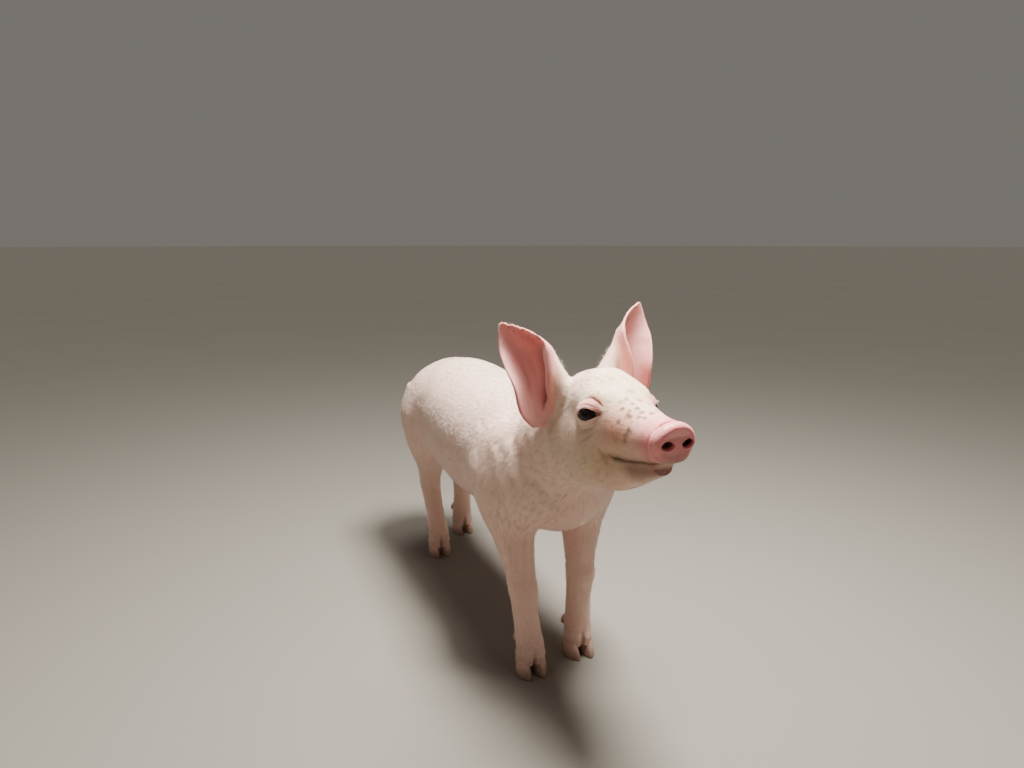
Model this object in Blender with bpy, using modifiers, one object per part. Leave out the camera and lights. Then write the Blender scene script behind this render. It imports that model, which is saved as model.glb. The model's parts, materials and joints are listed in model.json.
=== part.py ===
"""A young pig, life size, standing with its head raised.

The body is one smooth form.  It is described twice from the same tables of sections: as rough lofts
and balls, which make a closed mesh, and as a distance formula, which the mesh is then eased onto so
that neck, legs and ears flow into each other.  Thin cuts part that form into named pieces, and the
eyes, claws and dewclaws are set into it.

Metres, +Z up, snout towards -Y, the animal's left towards +X.
"""
import bpy
import bmesh
import numpy as np
from math import cos, pi, radians, sin
from mathutils import Matrix, Vector

MM = 0.001
COAT = 1.2 * MM            # depth of the coat over the skin, which the solids take in
CUT = 0.35 * MM            # width of the cuts between pieces
VOXEL = 2.0 * MM           # grain of the closed form before it is eased and thinned
FLESH_TRIANGLES = 3500     # triangles left in the flesh after thinning

# ---- Trunk and neck: sections along the body -------------------------------------------------------
# along the back (+Y), height of the middle, half width, reach up, reach down
TRUNK = np.array([
    [-120, 200, 44, 44, 42],
    [-90, 202, 56, 58, 50],
    [-50, 203, 65, 66, 62],
    [0, 204, 67, 69, 71],
    [55, 205, 69, 70, 77],
    [110, 207, 69, 70, 75],
    [165, 210, 65, 68, 62],
    [212, 209, 55, 60, 50],
    [243, 205, 42, 47, 40]]) * MM
NECK_FROM = Vector((0, -0.050, 0.208))     # between the shoulders
NECK_TO = Vector((0, -0.185, 0.264))       # behind the jaws
# along the neck, middle, half width, reach up, reach down
NECK = np.array([
    [-30, 0, 50, 46, 46],
    [20, 0, 57, 49, 60],
    [65, -2, 53, 44, 59],
    [100, -2, 47, 44, 50],
    [140, -2, 40, 42, 42]]) * MM

# ---- Head: sections along the line of the mouth, which tips up ---------------------------------------
HEAD_AT = Vector((0, -0.236, 0.280))       # between the eyes, on the line of the mouth
HEAD_PITCH = radians(11)
# forward along the head, middle, half width, reach up, reach down
SKULL = np.array([
    [-62, 6, 27, 32, 24],
    [-45, 8, 34, 40, 34],
    [-22, 8, 33.5, 41, 36],
    [0, 2, 29.5, 37.5, 32],
    [18, -4, 25, 31, 25],
    [36, -8, 21.5, 25.5, 20],
    [54, -10, 18.8, 20, 17.5],
    [64, -10, 17.8, 17.5, 16.5],
    [71, -10, 17.8, 16.5, 16]]) * MM
JAW = np.array([
    [-55, -22, 26, 20, 22],
    [-35, -24, 31, 22, 28],
    [-10, -26, 28, 20, 28],
    [12, -28, 22, 14, 22],
    [34, -30, 15.5, 9, 13],
    [50, -30, 11.5, 7, 8],
    [58, -30, 8, 5, 5.5]]) * MM
CHEEK_AT, CHEEK_SIZE = (-0.028, 0.022, -0.017), (0.032, 0.016, 0.026)     # forward, sideways, up
BROW_AT, BROW_SIZE = (-0.010, 0.020, 0.022), (0.018, 0.008, 0.009)
DISC_AT = Vector((0.0006, -0.3075, 0.2838))   # middle of the snout disc's thickness
DISC_SIZE = (0.0190, 0.0045, 0.0164)       # half width, half thickness, half height
DISC_ROUND = 3.7 * MM
DISC_TIP, DISC_TURN = radians(12), radians(6)   # how far its face looks down, and to the animal's left
DISC_SWELL = 1.8 * MM                      # rise of the middle of its face
DISC_NARROW = 0.20                         # share by which it is narrower at the bottom
EYE_AT = Vector((0.0262, -0.2307, 0.2912))
EYE_RADIUS = 8.8 * MM
SOCKET_AT, SOCKET_SIZE = (0.0221, -0.2279, 0.2912), (0.0080, 0.0080, 0.0080)   # rise round the eye

# ---- Ears: a rolled leaf from the lobe below to the tip above ----------------------------------------
# along the ear, middle across, set back, radius of the roll, half width round the roll, thickness
EAR = np.array([
    [0, 5, 1, 16, 4, 3.2],
    [8, 8, 0, 16, 12, 3.4],
    [24, 12, -4, 15, 22, 3.4],
    [44, 16, -7, 18, 29, 3.0],
    [62, 15, -6, 23, 27, 2.6],
    [78, 9, -2, 28, 17, 2.4],
    [89, 3, 1, 30, 7.5, 2.2],
    [94, 0, 2, 30, 1.5, 2.0]]) * MM
# name: side, lobe, tip, way the hollow faces, breadth against the table's
EARS = {
    "ear_right": (
        -1, Vector((-0.049, -0.168, 0.268)), Vector((-0.067, -0.143, 0.3565)), Vector((-0.66, -0.75, 0)), 1.0),
    "ear_left": (
        1, Vector((0.0565, -0.164, 0.274)), Vector((0.0640, -0.148, 0.3705)), Vector((0.46, -0.89, 0)), 1.10)}
EAR_ROOT_LOW, EAR_ROOT_HIGH = Vector((0.033, -0.172, 0.290)), Vector((0.036, -0.172, 0.326))
EAR_ROOT_RADII = (0.013, 0.008)
EAR_FRONTS = {                              # ridge by which the front edge runs onto the forehead
    "ear_right": (Vector((0.026, -0.186, 0.300)), Vector((0.0380, -0.178, 0.334))),
    "ear_left": (Vector((0.018, -0.174, 0.310)), Vector((0.0375, -0.168, 0.345)))}
EAR_FRONT_RADII = (0.010, 0.0045)

# ---- Legs: level sections from the foot up -----------------------------------------------------------
# height, sideways shift, set back from the toe, half width, reach forward, reach back
FORE = np.array([
    [12, 0, 19, 14.2, 12.0, 12.0],
    [20, 0, 19, 15.0, 12.5, 12.5],
    [30, 0, 20, 14.8, 12.0, 12.5],
    [42, 0, 21, 13.6, 12.5, 12.5],
    [62, 0, 22, 13.6, 13.0, 13.0],
    [84, 0, 21, 15.4, 15.0, 14.5],
    [105, 0, 23, 16.2, 16.0, 16.5],
    [135, 1, 26, 21.0, 20.0, 22.0],
    [165, 2, 30, 26.5, 26.0, 29.0],
    [205, 3, 38, 28.0, 32.0, 32.0],
    [240, 0, 48, 20.0, 26.0, 28.0]]) * MM
HIND = np.array([
    [12, 0, 18, 13.6, 11.5, 12.0],
    [20, 0, 19, 14.4, 12.0, 12.5],
    [30, 0, 20, 14.2, 11.8, 12.5],
    [42, 0, 23, 13.0, 12.0, 12.5],
    [60, 0, 29, 12.5, 12.0, 13.0],
    [78, 0, 35, 13.5, 13.0, 14.5],
    [92, 0, 37, 14.0, 15.0, 15.0],
    [110, 1, 30, 16.0, 19.0, 18.0],
    [135, 3, 14, 21.0, 26.0, 26.0],
    [165, 5, 6, 27.0, 38.0, 38.0],
    [200, 6, 4, 30.0, 44.0, 48.0],
    [235, 4, 10, 24.0, 40.0, 44.0]]) * MM
FORE_HIP = (0.042, -0.1155)                # sideways and toe line that the upper leg hangs from
HIND_HIP = (0.034, 0.208)
LEG_LEAVES_FOOT, LEG_REACHES_HIP = 0.030, 0.200
# name: side, fore leg, toe sideways, toe along the body
LEGS = {
    "foreleg_right": (-1, True, -0.0270, -0.134),
    "foreleg_left": (1, True, 0.0338, -0.119),
    "hindleg_right": (-1, False, -0.027, 0.184),
    "hindleg_left": (1, False, 0.029, 0.252)}
HEEL_AT, HEEL_SIZE = (0.0065, 0.0275, 0.0095), (0.0062, 0.0062, 0.0070)   # bulb behind each claw

# ---- Rounded masses on the trunk: middle on the left side, half sizes, how softly they join -----------
RUMP = ((0, 0.216, 0.208), (0.053, 0.060, 0.058), 0.020)
BRISKET = ((0, -0.125, 0.190), (0.042, 0.042, 0.038), 0.020)
SHOULDER = ((0.042, -0.092, 0.200), (0.028, 0.044, 0.052), 0.020)
HAM = ((0.036, 0.203, 0.190), (0.030, 0.052, 0.060), 0.025)

# ---- Tail: radius from root to tip along an arc that hangs down --------------------------------------
TAIL_ROOT = Vector((0, 0.246, 0.246))
TAIL_LINKS = 5
TAIL_LINK = 0.0165                          # length of each straight link
TAIL_TURN = (radians(24), radians(-12), radians(-52), radians(-78), radians(-62))   # slope of each link
TAIL_RADII = (0.0120, 0.0088, 0.0068, 0.0054, 0.0043, 0.0034)

# ---- Claws --------------------------------------------------------------------------------------------
CLAW_LENGTH = {True: 0.027, False: 0.0255}  # fore, hind
CLAW_WIDTH = {True: 0.0142, False: 0.0134}
CLAW_GAP = 3.2 * MM                         # between the two toes at the floor
CLAW_HEIGHT, CLAW_HEEL_HEIGHT = 0.0175, 0.0115
CLAW_LEAN = 0.0085                          # how far the front wall slopes back
CLAW_SPLAY = radians(9)
DEWCLAW_AT = {True: (0.0088, 0.0345, 0.0335), False: (0.0084, 0.0355, 0.0350)}   # sideways, back, up
DEWCLAW_SIZE = (0.0042, 0.0046, 0.0078)

# ---- Where the pieces part: middle of the cut, the way it faces, half sizes across and along ----------
SNOUT_CUT = 0.050                           # forward along the head
HEAD_CUT = 0.112                            # along the neck
NECK_CUT = 0.040
FORE_CUT_HEIGHT, HIND_CUT_HEIGHT = 0.1385, 0.1260
TAIL_CUT = 0.35                             # share of the first link

FINISH = {  # colour, roughness
    "skin": ((0.86, 0.62, 0.55, 1), 0.55),
    "ear_skin": ((0.84, 0.45, 0.42, 1), 0.50),
    "snout_skin": ((0.80, 0.42, 0.40, 1), 0.45),
    "eye": ((0.045, 0.030, 0.028, 1), 0.08),
    "claw": ((0.50, 0.33, 0.26, 1), 0.45)}


# ======================================================================================================
# Curves and distances, for whole arrays of points
# ======================================================================================================
def curve(table, column, at):
    """Smooth curve through one column of a table, that never overshoots its values."""
    x, y = table[:, 0], table[:, column]
    step = np.diff(x)
    slope = np.diff(y) / step
    tangent = np.zeros_like(y)
    tangent[0], tangent[-1] = slope[0], slope[-1]
    w1, w2 = 2 * step[1:] + step[:-1], step[1:] + 2 * step[:-1]
    turns = slope[:-1] * slope[1:] <= 0
    safe = np.where(slope == 0, 1, slope)
    tangent[1:-1] = np.where(turns, 0, (w1 + w2) / (w1 / safe[:-1] + w2 / safe[1:]))
    at = np.clip(at, x[0], x[-1])
    i = np.clip(np.searchsorted(x, at, side="right") - 1, 0, len(step) - 1)
    t = (at - x[i]) / step[i]
    return (y[i] * (1 + 2 * t) * (1 - t) ** 2 + tangent[i] * step[i] * t * (1 - t) ** 2
            + y[i + 1] * t * t * (3 - 2 * t) + tangent[i + 1] * step[i] * t * t * (t - 1))


def join(a, b, soft):
    """Union of two distances with a fillet about `soft` wide."""
    h = np.clip(0.5 + 0.5 * (b - a) / soft, 0, 1)
    return b * (1 - h) + a * h - soft * h * (1 - h)


def ball_distance(p, middle, size):
    q = p - np.array(middle)
    size = np.array(size)
    k0 = np.linalg.norm(q / size, axis=1) + 1e-9
    k1 = np.linalg.norm(q / size ** 2, axis=1) + 1e-9
    return k0 * (k0 - 1) / k1


def section_distance(along, across, up, table, power=2.15):
    """Distance to a loft.  Columns: along, middle across, middle up, half width, reach up, reach down."""
    mid_across, mid_up, wide, above, below = (curve(table, i, along) for i in range(1, 6))
    x, z = across - mid_across, up - mid_up
    tall = np.where(z > 0, above, below)
    away = np.hypot(x, z) + 1e-9
    ratio = ((np.abs(x) / wide) ** power + (np.abs(z) / tall) ** power) ** (1 / power) + 1e-9
    flat = np.where(ratio < 1e-3, -np.minimum(wide, tall), away * (1 - 1 / ratio))
    over = np.maximum(np.maximum(table[0, 0] - along, along - table[-1, 0]), 0)
    return np.where(over > 0, np.hypot(np.maximum(flat, 0), over), flat)


def rod_distance(p, start, end, start_radius, end_radius):
    start, line = np.array(start), np.array(end - start)
    t = np.clip((p - start) @ line / (line @ line), 0, 1)
    radius = start_radius + (end_radius - start_radius) * t
    return np.linalg.norm(p - start - t[:, None] * line, axis=1) - radius


def wider(table):
    """Section table with a column of zeros for the middle across."""
    return np.insert(table, 1, 0, axis=1)


def near(p, low, high, distance):
    """A distance worked out only inside a box, and large outside it."""
    inside = ((p > np.array(low)) & (p < np.array(high))).all(axis=1)
    result = np.full(len(p), 0.05)
    if inside.any():
        result[inside] = distance(p[inside])
    return result


# ---- Frames: origin and three unit axes (along, across, up) ------------------------------------------
def neck_frame():
    along = (NECK_TO - NECK_FROM).normalized()
    return NECK_FROM, along, Vector((1, 0, 0)), Vector((0, along.z, -along.y))


def head_frame():
    along = Vector((0, -cos(HEAD_PITCH), sin(HEAD_PITCH)))
    return HEAD_AT, along, Vector((1, 0, 0)), Vector((0, sin(HEAD_PITCH), cos(HEAD_PITCH)))


def ear_frame(name):
    """Along the ear, across it towards its front edge, and out of its hollow."""
    _, lobe, tip, face, _ = EARS[name]
    along = (tip - lobe).normalized()
    out = (face - along * face.dot(along)).normalized()
    across = along.cross(out)
    return lobe, along, across if across.y < 0 else -across, out


def to_frame(p, frame):
    origin, *axes = frame
    q = p - np.array(origin)
    return [q @ np.array(axis) for axis in axes]


def leg_table(name):
    """Sections of one leg: it leaves the foot where the toe stands and reaches the hip's own place."""
    side, fore, toe_x, toe_y = LEGS[name]
    table = FORE if fore else HIND
    hip_x, hip_y = FORE_HIP if fore else HIND_HIP
    share = np.clip((table[:, 0] - LEG_LEAVES_FOOT) / (LEG_REACHES_HIP - LEG_LEAVES_FOOT), 0, 1)
    middle_x = toe_x + (side * hip_x - toe_x) * share + side * table[:, 1]
    middle_y = toe_y + (hip_y - toe_y) * share + table[:, 2]
    return np.column_stack([table[:, 0], middle_x, -middle_y, table[:, 3], table[:, 4], table[:, 5]])


def tail_points():
    points = [TAIL_ROOT]
    for turn in TAIL_TURN:
        points.append(points[-1] + Vector((0, cos(turn), sin(turn))) * TAIL_LINK)
    return points


# ---- The parts of the form, as distances -------------------------------------------------------------
def disc_places(p):
    """Sideways, back and up in the disc's own directions."""
    q = p - np.array(DISC_AT)
    x = q[:, 0] * cos(DISC_TURN) + q[:, 1] * sin(DISC_TURN)
    y = q[:, 1] * cos(DISC_TURN) - q[:, 0] * sin(DISC_TURN)
    return x, y * cos(DISC_TIP) + q[:, 2] * sin(DISC_TIP), q[:, 2] * cos(DISC_TIP) - y * sin(DISC_TIP)


def disc_distance(p):
    x, y, z = disc_places(p)
    wide, thick, tall = DISC_SIZE
    x = x / (1 - DISC_NARROW * np.clip(-z / tall, 0, 1))
    ratio = np.hypot(x / wide, z / tall) + 1e-9
    radial = np.hypot(x, z) * (1 - 1 / ratio) + DISC_ROUND
    through = np.abs(y) - np.where(y < 0, DISC_SWELL * np.clip(1 - ratio ** 2, 0, 1), 0) - thick + DISC_ROUND
    outside = np.hypot(np.maximum(radial, 0), np.maximum(through, 0))
    return outside + np.minimum(np.maximum(radial, through), 0) - DISC_ROUND


def head_distance(p):
    along, across, up = to_frame(p, head_frame())
    d = section_distance(along, across, up, wider(SKULL))
    d = join(d, section_distance(along, across, up, wider(JAW)), 0.007)
    folded = np.column_stack([along, np.abs(across), up])
    d = join(d, ball_distance(folded, CHEEK_AT, CHEEK_SIZE), 0.015)
    d = join(d, ball_distance(folded, BROW_AT, BROW_SIZE), 0.012)
    mirrored = np.column_stack([np.abs(p[:, 0]), p[:, 1], p[:, 2]])
    d = join(d, ball_distance(mirrored, SOCKET_AT, SOCKET_SIZE), 0.010)
    return join(d, disc_distance(p), 0.004)


def neck_distance(p):
    return section_distance(*to_frame(p, neck_frame()), wider(NECK))


def leg_distance(p, name):
    _, _, toe_x, toe_y = LEGS[name]
    d = section_distance(p[:, 2], p[:, 0], -p[:, 1], leg_table(name))
    folded = np.column_stack([np.abs(p[:, 0] - toe_x), p[:, 1] - toe_y, p[:, 2]])
    return join(d, ball_distance(folded, HEEL_AT, HEEL_SIZE), 0.005)


def ear_distance(p, name):
    side, lobe, tip, _, breadth = EARS[name]
    along, across, out = to_frame(p, ear_frame(name))
    along = along * EAR[-1, 0] / (tip - lobe).length
    mid_across, mid_out, roll, half, thick = (curve(EAR, i, along) for i in range(1, 6))
    x, z = across - mid_across, out - mid_out - roll
    angle, limit = np.arctan2(x, -z), half * breadth / roll
    to_edge = np.hypot(x - roll * np.sin(limit) * np.sign(angle), z + roll * np.cos(limit))
    flat = np.where(np.abs(angle) <= limit, np.abs(np.hypot(x, z) - roll), to_edge)
    over = np.maximum(np.maximum(-along, along - EAR[-1, 0]), 0)
    mirrored = p * np.array([side, 1, 1])
    root = join(rod_distance(mirrored, EAR_ROOT_LOW, EAR_ROOT_HIGH, *EAR_ROOT_RADII),
                rod_distance(mirrored, *EAR_FRONTS[name], *EAR_FRONT_RADII), 0.006)
    return join(np.hypot(flat, over) - thick / 2, root, 0.008)


def tail_distance(p):
    points = tail_points()
    d = rod_distance(p, points[0], points[1], TAIL_RADII[0], TAIL_RADII[1])
    for i in range(1, TAIL_LINKS):
        d = join(d, rod_distance(p, points[i], points[i + 1], TAIL_RADII[i], TAIL_RADII[i + 1]), 0.003)
    return d


def flesh_distance(p):
    """Signed distance to the skin of the whole animal, negative inside."""
    folded = np.column_stack([np.abs(p[:, 0]), p[:, 1], p[:, 2]])
    d = section_distance(p[:, 1], p[:, 0], p[:, 2], wider(TRUNK))
    d = join(d, ball_distance(p, *RUMP[:2]), RUMP[2])
    d = join(d, near(p, (-0.16, -0.32, 0.06), (0.16, 0.08, 0.40), neck_distance), 0.030)
    d = join(d, ball_distance(p, *BRISKET[:2]), BRISKET[2])
    d = join(d, ball_distance(folded, *SHOULDER[:2]), SHOULDER[2])
    d = join(d, ball_distance(folded, *HAM[:2]), HAM[2])
    for name, (side, fore, _, _) in LEGS.items():
        low = (-0.12 if side < 0 else -0.03, -0.22 if fore else 0.08, -0.03)
        high = (0.03 if side < 0 else 0.12, 0.02 if fore else 0.36, 0.29)
        d = join(d, near(p, low, high, lambda q: leg_distance(q, name)), 0.016)
    d = join(d, near(p, (-0.10, -0.36, 0.16), (0.10, -0.10, 0.38), head_distance), 0.022)
    for name, (side, *_) in EARS.items():
        low = (-0.12 if side < 0 else 0.0, -0.22, 0.24)
        high = (0.0 if side < 0 else 0.12, -0.10, 0.40)
        d = join(d, near(p, low, high, lambda q: ear_distance(q, name)), 0.007)
    return join(d, near(p, (-0.05, 0.20, 0.18), (0.05, 0.33, 0.30), tail_distance), 0.008)


# ======================================================================================================
# Rough closed pieces from the same tables
# ======================================================================================================
def loft_mesh(bm, frame, table, rings=18, sides=20):
    """Elliptical rings along a frame's first axis, skinned and capped."""
    origin, along, across, up = frame
    previous = None
    for s in np.linspace(table[0, 0], table[-1, 0], rings):
        at = np.array([s])
        mid_across, mid_up, wide, above, below = (curve(table, i, at)[0] for i in range(1, 6))
        ring = []
        for k in range(sides):
            angle = 2 * pi * k / sides
            tall = above if sin(angle) > 0 else below
            ring.append(bm.verts.new(origin + along * s + across * (mid_across + wide * cos(angle))
                                     + up * (mid_up + tall * sin(angle))))
        if previous:
            for k in range(sides):
                bm.faces.new((previous[k], previous[(k + 1) % sides], ring[(k + 1) % sides], ring[k]))
        else:
            bm.faces.new(list(reversed(ring)))
        previous = ring
    bm.faces.new(previous)


def ball_mesh(bm, middle, size, turn=Matrix()):
    place = Matrix.Translation(middle) @ turn @ Matrix.Diagonal((*size, 1))
    bmesh.ops.create_uvsphere(bm, u_segments=24, v_segments=14, radius=1, matrix=place)


def ear_mesh(bm, name, rows=26, columns=16):
    """The rolled leaf as two skins, its inner and its outer side, closed round the rim."""
    origin, along, across, out = ear_frame(name)
    _, lobe, tip, *_ = EARS[name]
    stretch = (tip - lobe).length / EAR[-1, 0]
    sheets = []
    for side in (-0.5, 0.5):
        sheet = []
        for s in np.linspace(0, EAR[-1, 0], rows):
            mid_across, mid_out, roll, half, thick = (curve(EAR, i, np.array([s]))[0] for i in range(1, 6))
            row = []
            for angle in np.linspace(-half / roll, half / roll, columns):
                r = roll + side * thick
                row.append(bm.verts.new(origin + along * s * stretch + across * (mid_across + r * sin(angle))
                                        + out * (mid_out + roll - r * cos(angle))))
            sheet.append(row)
        sheets.append(sheet)
    inner, outer = sheets
    for i in range(rows - 1):
        for j in range(columns - 1):
            bm.faces.new((inner[i][j], inner[i][j + 1], inner[i + 1][j + 1], inner[i + 1][j]))
            bm.faces.new((outer[i][j], outer[i + 1][j], outer[i + 1][j + 1], outer[i][j + 1]))
    rim = [(i, 0) for i in range(rows)] + [(rows - 1, j) for j in range(1, columns)]
    rim += [(i, columns - 1) for i in range(rows - 2, -1, -1)] + [(0, j) for j in range(columns - 2, 0, -1)]
    for (i, j), (k, m) in zip(rim, rim[1:] + rim[:1]):
        bm.faces.new((inner[i][j], inner[k][m], outer[k][m], outer[i][j]))


def rod_mesh(bm, start, end, radii, balls=5):
    for k in range(balls):
        t = k / (balls - 1)
        radius = radii[0] + (radii[1] - radii[0]) * t
        ball_mesh(bm, start.lerp(end, t), (radius,) * 3)


def rough_body():
    """Every loft and ball of the body in one mesh, overlapping."""
    bm = bmesh.new()
    ahead, left, upward = Vector((0, 1, 0)), Vector((1, 0, 0)), Vector((0, 0, 1))
    loft_mesh(bm, (Vector(), ahead, left, upward), wider(TRUNK), rings=30)
    loft_mesh(bm, neck_frame(), wider(NECK))
    loft_mesh(bm, head_frame(), wider(SKULL), rings=26)
    loft_mesh(bm, head_frame(), wider(JAW))
    for middle, size, _ in (RUMP, BRISKET):
        ball_mesh(bm, Vector(middle), size)
    head_at, along, across, up = head_frame()
    head_turn = Matrix((along, across, up)).transposed().to_4x4()
    for side in (-1, 1):
        for middle, size, _ in (SHOULDER, HAM):
            ball_mesh(bm, Vector((side * middle[0], middle[1], middle[2])), size)
        for middle, size in ((CHEEK_AT, CHEEK_SIZE), (BROW_AT, BROW_SIZE)):
            place = head_at + along * middle[0] + across * side * middle[1] + up * middle[2]
            ball_mesh(bm, place, size, head_turn)
        ball_mesh(bm, Vector((side * SOCKET_AT[0], *SOCKET_AT[1:])), SOCKET_SIZE)
    ball_mesh(bm, DISC_AT, DISC_SIZE)
    for name, (_, _, toe_x, toe_y) in LEGS.items():
        loft_mesh(bm, (Vector(), upward, left, -ahead), leg_table(name), rings=30, sides=16)
        for heel in (-1, 1):
            ball_mesh(bm, Vector((toe_x + heel * HEEL_AT[0], toe_y + HEEL_AT[1], HEEL_AT[2])), HEEL_SIZE)
    for name, (side, *_) in EARS.items():
        ear_mesh(bm, name)
        mirror = Matrix.Diagonal((side, 1, 1))
        rod_mesh(bm, mirror @ EAR_ROOT_LOW, mirror @ EAR_ROOT_HIGH, EAR_ROOT_RADII)
        low, high = EAR_FRONTS[name]
        rod_mesh(bm, mirror @ low, mirror @ high, EAR_FRONT_RADII)
    points = tail_points()
    for i in range(TAIL_LINKS):
        rod_mesh(bm, points[i], points[i + 1], TAIL_RADII[i:i + 2])
    bmesh.ops.recalc_face_normals(bm, faces=bm.faces)
    return bm


# ======================================================================================================
# Objects
# ======================================================================================================
def new_object(name, bm, collection):
    mesh = bpy.data.meshes.new(name)
    bm.to_mesh(mesh)
    bm.free()
    obj = bpy.data.objects.new(name, mesh)
    collection.objects.link(obj)
    return obj


def modified(obj, kind, **settings):
    """Adds one modifier, applies it and drops it."""
    modifier = obj.modifiers.new(kind.lower(), kind)
    for key, value in settings.items():
        setattr(modifier, key, value)
    graph = bpy.context.evaluated_depsgraph_get()
    mesh = bpy.data.meshes.new_from_object(obj.evaluated_get(graph))
    obj.modifiers.clear()
    obj.data = mesh
    return obj


def ease_onto_form(obj, level, passes=5, step=0.4 * MM):
    """Moves every vertex along the form's slope until it lies `level` outside the skin."""
    count = len(obj.data.vertices)
    flat = np.empty(count * 3)
    obj.data.vertices.foreach_get("co", flat)
    p = flat.reshape(-1, 3)
    for _ in range(passes):
        slope = np.column_stack([
            (flesh_distance(p + step * axis) - flesh_distance(p - step * axis)) / (2 * step)
            for axis in np.eye(3)])
        size = np.maximum((slope ** 2).sum(axis=1), 0.3)
        move = (flesh_distance(p) - level) / size
        p = p - slope * np.clip(move, -3 * MM, 3 * MM)[:, None]
    obj.data.vertices.foreach_set("co", p.ravel())
    obj.data.update()


def closed_body(collection):
    """The whole flesh as one closed mesh, out to the tips of the coat."""
    body = new_object("body", rough_body(), collection)
    modified(body, "REMESH", mode="VOXEL", voxel_size=VOXEL)
    ease_onto_form(body, COAT)
    modified(body, "SMOOTH", factor=0.5, iterations=4)
    ease_onto_form(body, COAT, passes=3)
    triangles = sum(len(face.vertices) - 2 for face in body.data.polygons)
    return modified(body, "DECIMATE", ratio=FLESH_TRIANGLES / triangles)


def slab(bm, middle, normal, half_size, thickness=CUT):
    """A thin box across `normal`, for a cut."""
    turn = Vector(normal).to_track_quat("Z", "Y").to_matrix().to_4x4()
    sizes = Matrix.Diagonal((2 * half_size[0], 2 * half_size[1], thickness, 1))
    bmesh.ops.create_cube(bm, size=1, matrix=Matrix.Translation(middle) @ turn @ sizes)


def cutting_slabs():
    """The thin cuts that part the body, as separate boxes."""
    cuts = []

    def cut(middle, normal, half_size):
        bm = bmesh.new()
        slab(bm, middle, normal, half_size)
        cuts.append(bm)

    at, along, _, up = head_frame()
    cut(at + along * SNOUT_CUT - up * 0.014, along, (0.028, 0.028))
    points = tail_points()
    link = points[1] - points[0]
    cut(points[0] + link * (1 + TAIL_CUT), link, (0.017, 0.017))
    for side in (1, -1):
        cut(Vector((side * 0.0345, -0.186, 0.307)), (side, 0, 0.22), (0.030, 0.056))
    for side, fore, _, toe_y in reversed(LEGS.values()):
        hip_x, hip_y = FORE_HIP if fore else HIND_HIP
        height = FORE_CUT_HEIGHT if fore else HIND_CUT_HEIGHT
        back = 0.026 if fore else 0.020
        cut(Vector((side * (hip_x - 0.001), (hip_y + toe_y) / 2 + back, height)), (0, 0, 1), (0.036, 0.043))
    at, along, _, _ = neck_frame()
    cut(at + along * NECK_CUT, along, (0.085, 0.096))
    cut(at + along * HEAD_CUT, along, (0.052, 0.060))
    return cuts


def claw_mesh(fore, side, toe, swell=0.0):
    """One toe of a foot: level outlines, pointed in front, that shrink and lean back as they rise."""
    length, width = CLAW_LENGTH[fore] + 2 * swell, CLAW_WIDTH[fore] + 2 * swell
    levels, sides = 5, 14
    middle = Vector((side * (CLAW_GAP + CLAW_WIDTH[fore]) / 2, CLAW_LENGTH[fore] / 2, 0))
    turn = Matrix.Rotation(-side * CLAW_SPLAY, 3, "Z")
    bm = bmesh.new()
    rings = []
    for i in range(levels):
        rise = i / (levels - 1)
        ring = []
        for k in range(sides):
            angle = 2 * pi * k / sides
            front = cos(angle)                            # 1 at the toe, -1 at the heel
            pointed = 1 - 0.42 * max(front, 0) ** 2
            x = 0.5 * width * sin(angle) * pointed * (1 - 0.16 * rise)
            y = -0.5 * length * front * (1 - 0.10 * rise) + CLAW_LEAN * rise * (0.5 + 0.5 * front)
            tall = CLAW_HEEL_HEIGHT + (CLAW_HEIGHT - CLAW_HEEL_HEIGHT) * (0.5 + 0.5 * front)
            z = (tall + swell) * rise - swell * (1 - rise)
            place = turn @ Vector((x, y, 0)) + middle
            ring.append(bm.verts.new((toe[0] + place.x, toe[1] + place.y, z)))
        rings.append(ring)
    for low, high in zip(rings, rings[1:]):
        for k in range(sides):
            bm.faces.new((low[k], low[(k + 1) % sides], high[(k + 1) % sides], high[k]))
    bm.faces.new(list(reversed(rings[0])))
    bm.faces.new(rings[-1])
    bmesh.ops.recalc_face_normals(bm, faces=bm.faces)
    return bm


def dewclaw_mesh(fore, side, toe, swell=0.0):
    """A small blunt cone behind the fetlock that points down and back."""
    out, back, high = DEWCLAW_AT[fore]
    size = [value + swell for value in DEWCLAW_SIZE]
    turn = Matrix.Rotation(radians(28), 4, "X") @ Matrix.Rotation(-side * radians(10), 4, "Y")
    bm = bmesh.new()
    middle = Matrix.Translation((toe[0] + side * out, toe[1] + back, high))
    place = middle @ turn @ Matrix.Diagonal((*size, 1))
    bmesh.ops.create_uvsphere(bm, u_segments=8, v_segments=6, radius=1, matrix=place)
    return bm


def eye_mesh(side, swell=0.0):
    bm = bmesh.new()
    middle = Vector((side * EYE_AT.x, EYE_AT.y, EYE_AT.z))
    place = Matrix.Translation(middle) @ Matrix.Rotation(side * radians(90), 4, "Y")
    bmesh.ops.create_uvsphere(bm, u_segments=14, v_segments=9, radius=EYE_RADIUS + swell, matrix=place)
    return bm


def carve(body, bm, cutters):
    """Takes one closed mesh out of the body."""
    cutter = new_object("cutter", bm, cutters)
    cutter.hide_render = True
    cutter.display_type = "WIRE"
    modified(body, "BOOLEAN", operation="DIFFERENCE", solver="EXACT", object=cutter)
    bpy.data.objects.remove(cutter)


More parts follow.
